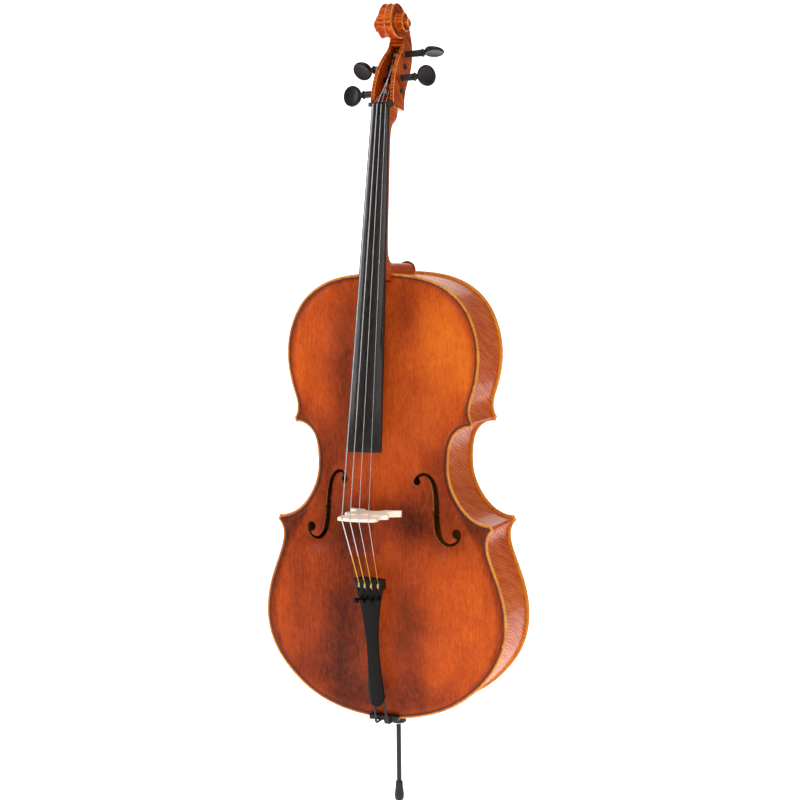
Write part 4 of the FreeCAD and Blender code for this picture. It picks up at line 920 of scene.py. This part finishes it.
def knurledHead(mesh, radius, low, high, ribs=26):
    # a drum whose side is cut into ribs, with rounded rims
    made = bmesh.ops.create_cone(mesh, cap_ends=True, segments=ribs * 2,
                                 radius1=radius * mm, radius2=radius * mm, depth=(high - low) * mm,
                                 matrix=Matrix.Translation((0, 0, (high + low) / 2 * mm)))
    rims = [e for e in mesh.edges
            if all(v in made["verts"] for v in e.verts) and e.calc_face_angle(0) > 1.2]
    bmesh.ops.bevel(mesh, geom=rims, affect="EDGES", offset=0.5 * mm, segments=2, profile=0.5, material=-1)
    for v in mesh.verts:
        turn = math.atan2(v.co.y, v.co.x)
        reach = math.hypot(v.co.x, v.co.y)
        if reach > (radius - 0.3) * mm:
            dip = 1 - 0.05 * (0.5 - 0.5 * math.cos(turn * ribs))
            v.co.x *= dip
            v.co.y *= dip


def makeTunerScrew(name):
    x = ("cgda".index(name) - 1.5) * tail["gap"]
    surface = tail["radius"] - math.sqrt(tail["radius"] ** 2 - x ** 2)
    lean = math.asin(x / tail["radius"])
    depth = (tail["pivotBack"] - 2 - surface - 1.5 * math.sin(abs(lean))) / math.cos(lean)
    mesh = bmesh.new()
    knurledHead(mesh, 4.6, 8, 13.5)
    spun(mesh, ((0, -depth), (1.3, -depth), (1.5, 0.3 - depth), (1.5, 7.4),
                (2.6, 7.6), (2.6, 8.2), (0, 8.2)), 24)
    spun(mesh, ((0, 13.9), (2.9, 13.9), (3.3, 13.4), (0, 13.3)), 32)
    place = (Matrix.Translation((0, -tail["depth"] * mm, up(tail["bottom"])))
             @ Matrix.Rotation(math.radians(tail["tilt"]), 4, "X")
             @ Matrix.Translation((x * mm, surface * mm, tail["screwUp"] * mm))
             @ Matrix.Rotation(math.pi / 2, 4, "X") @ Matrix.Rotation(lean, 4, "Y"))
    bmesh.ops.transform(mesh, matrix=place, verts=mesh.verts)
    return finishMesh("tunerScrewKnurled_" + name, mesh, "tuner_screw_%s_turning" % name,
                      ["blackPlate"], replaces=["tuner_screw_" + name], smoothAngle=30)


for letter in pegs:
    makeTunerScrew(letter)
softened(["thumbscrew"], "blackPlate", 0.3, segments=2)
print("screws knurled")


# floor and light

def makeStudio():
    # a floor that curves up into a pale backdrop behind the instrument
    mesh = bmesh.new()
    side = -studio["backdropHalf"]
    profile = [mesh.verts.new((side, -3.2, 0)), mesh.verts.new((side, 3.0, 0))]
    for i in range(1, 9):
        angle = math.pi / 2 * i / 8
        profile.append(mesh.verts.new((side, 3.0 + 1.5 * math.sin(angle), 1.5 - 1.5 * math.cos(angle))))
    profile.append(mesh.verts.new((side, 4.5, 5)))
    edges = [mesh.edges.new(pair) for pair in zip(profile, profile[1:])]
    made = bmesh.ops.extrude_edge_only(mesh, edges=edges)
    bmesh.ops.translate(mesh, verts=vertsOf(made), vec=(-2 * side, 0, 0))
    # it faces the camera, and is only as wide as the camera sees, so the ribs don't mirror it
    bmesh.ops.rotate(mesh, verts=mesh.verts, matrix=Matrix.Rotation(math.radians(view["turn"][2]), 3, "Z"))
    data = bpy.data.meshes.new("studioFloor")
    mesh.to_mesh(data)
    mesh.free()
    data.polygons.foreach_set("use_smooth", [True] * len(data.polygons))
    floor = bpy.data.objects.new("studioFloor", data)
    bpy.context.scene.collection.objects.link(floor)
    paper = plainMaterial("paperBackdrop", (studio["backdrop"], "#ffffff"), 0.9, grain=3)
    glow = paper.node_tree.nodes["Principled BSDF"].inputs
    glow["Emission Color"].default_value = hexColour("#ffffff")
    glow["Emission Strength"].default_value = studio["backdropGlow"]
    data.materials.append(paper)
    world = bpy.data.worlds.new("studio")
    world.use_nodes = True
    back = world.node_tree.nodes["Background"]
    back.inputs["Color"].default_value = hexColour("#ffffff")
    back.inputs["Strength"].default_value = studio["world"]
    bpy.context.scene.world = world
    areaLight("key", (-2.75, -1.75, 1.9), (0, 0, 0.75), 1.1, 2.0, studio["key"])
    areaLight("front", (0.75, -2.9, 2.1), (0, 0, 0.75), 1.1, 1.5, studio["front"])
    areaLight("side", (2.6, -0.4, 1.3), (0, 0, 0.7), 0.8, 1.8, studio["side"])
    areaLight("top", (0.5, -0.7, 3.4), (0, 0, 0.8), 1.6, 1.2, studio["top"])
    areaLight("rim", (-1.8, 1.6, 1.8), (0, 0, 0.8), 0.8, 1.6, studio["rim"])


makeStudio()
bpy.context.scene.view_settings.view_transform = "Standard"
print("studio lit")
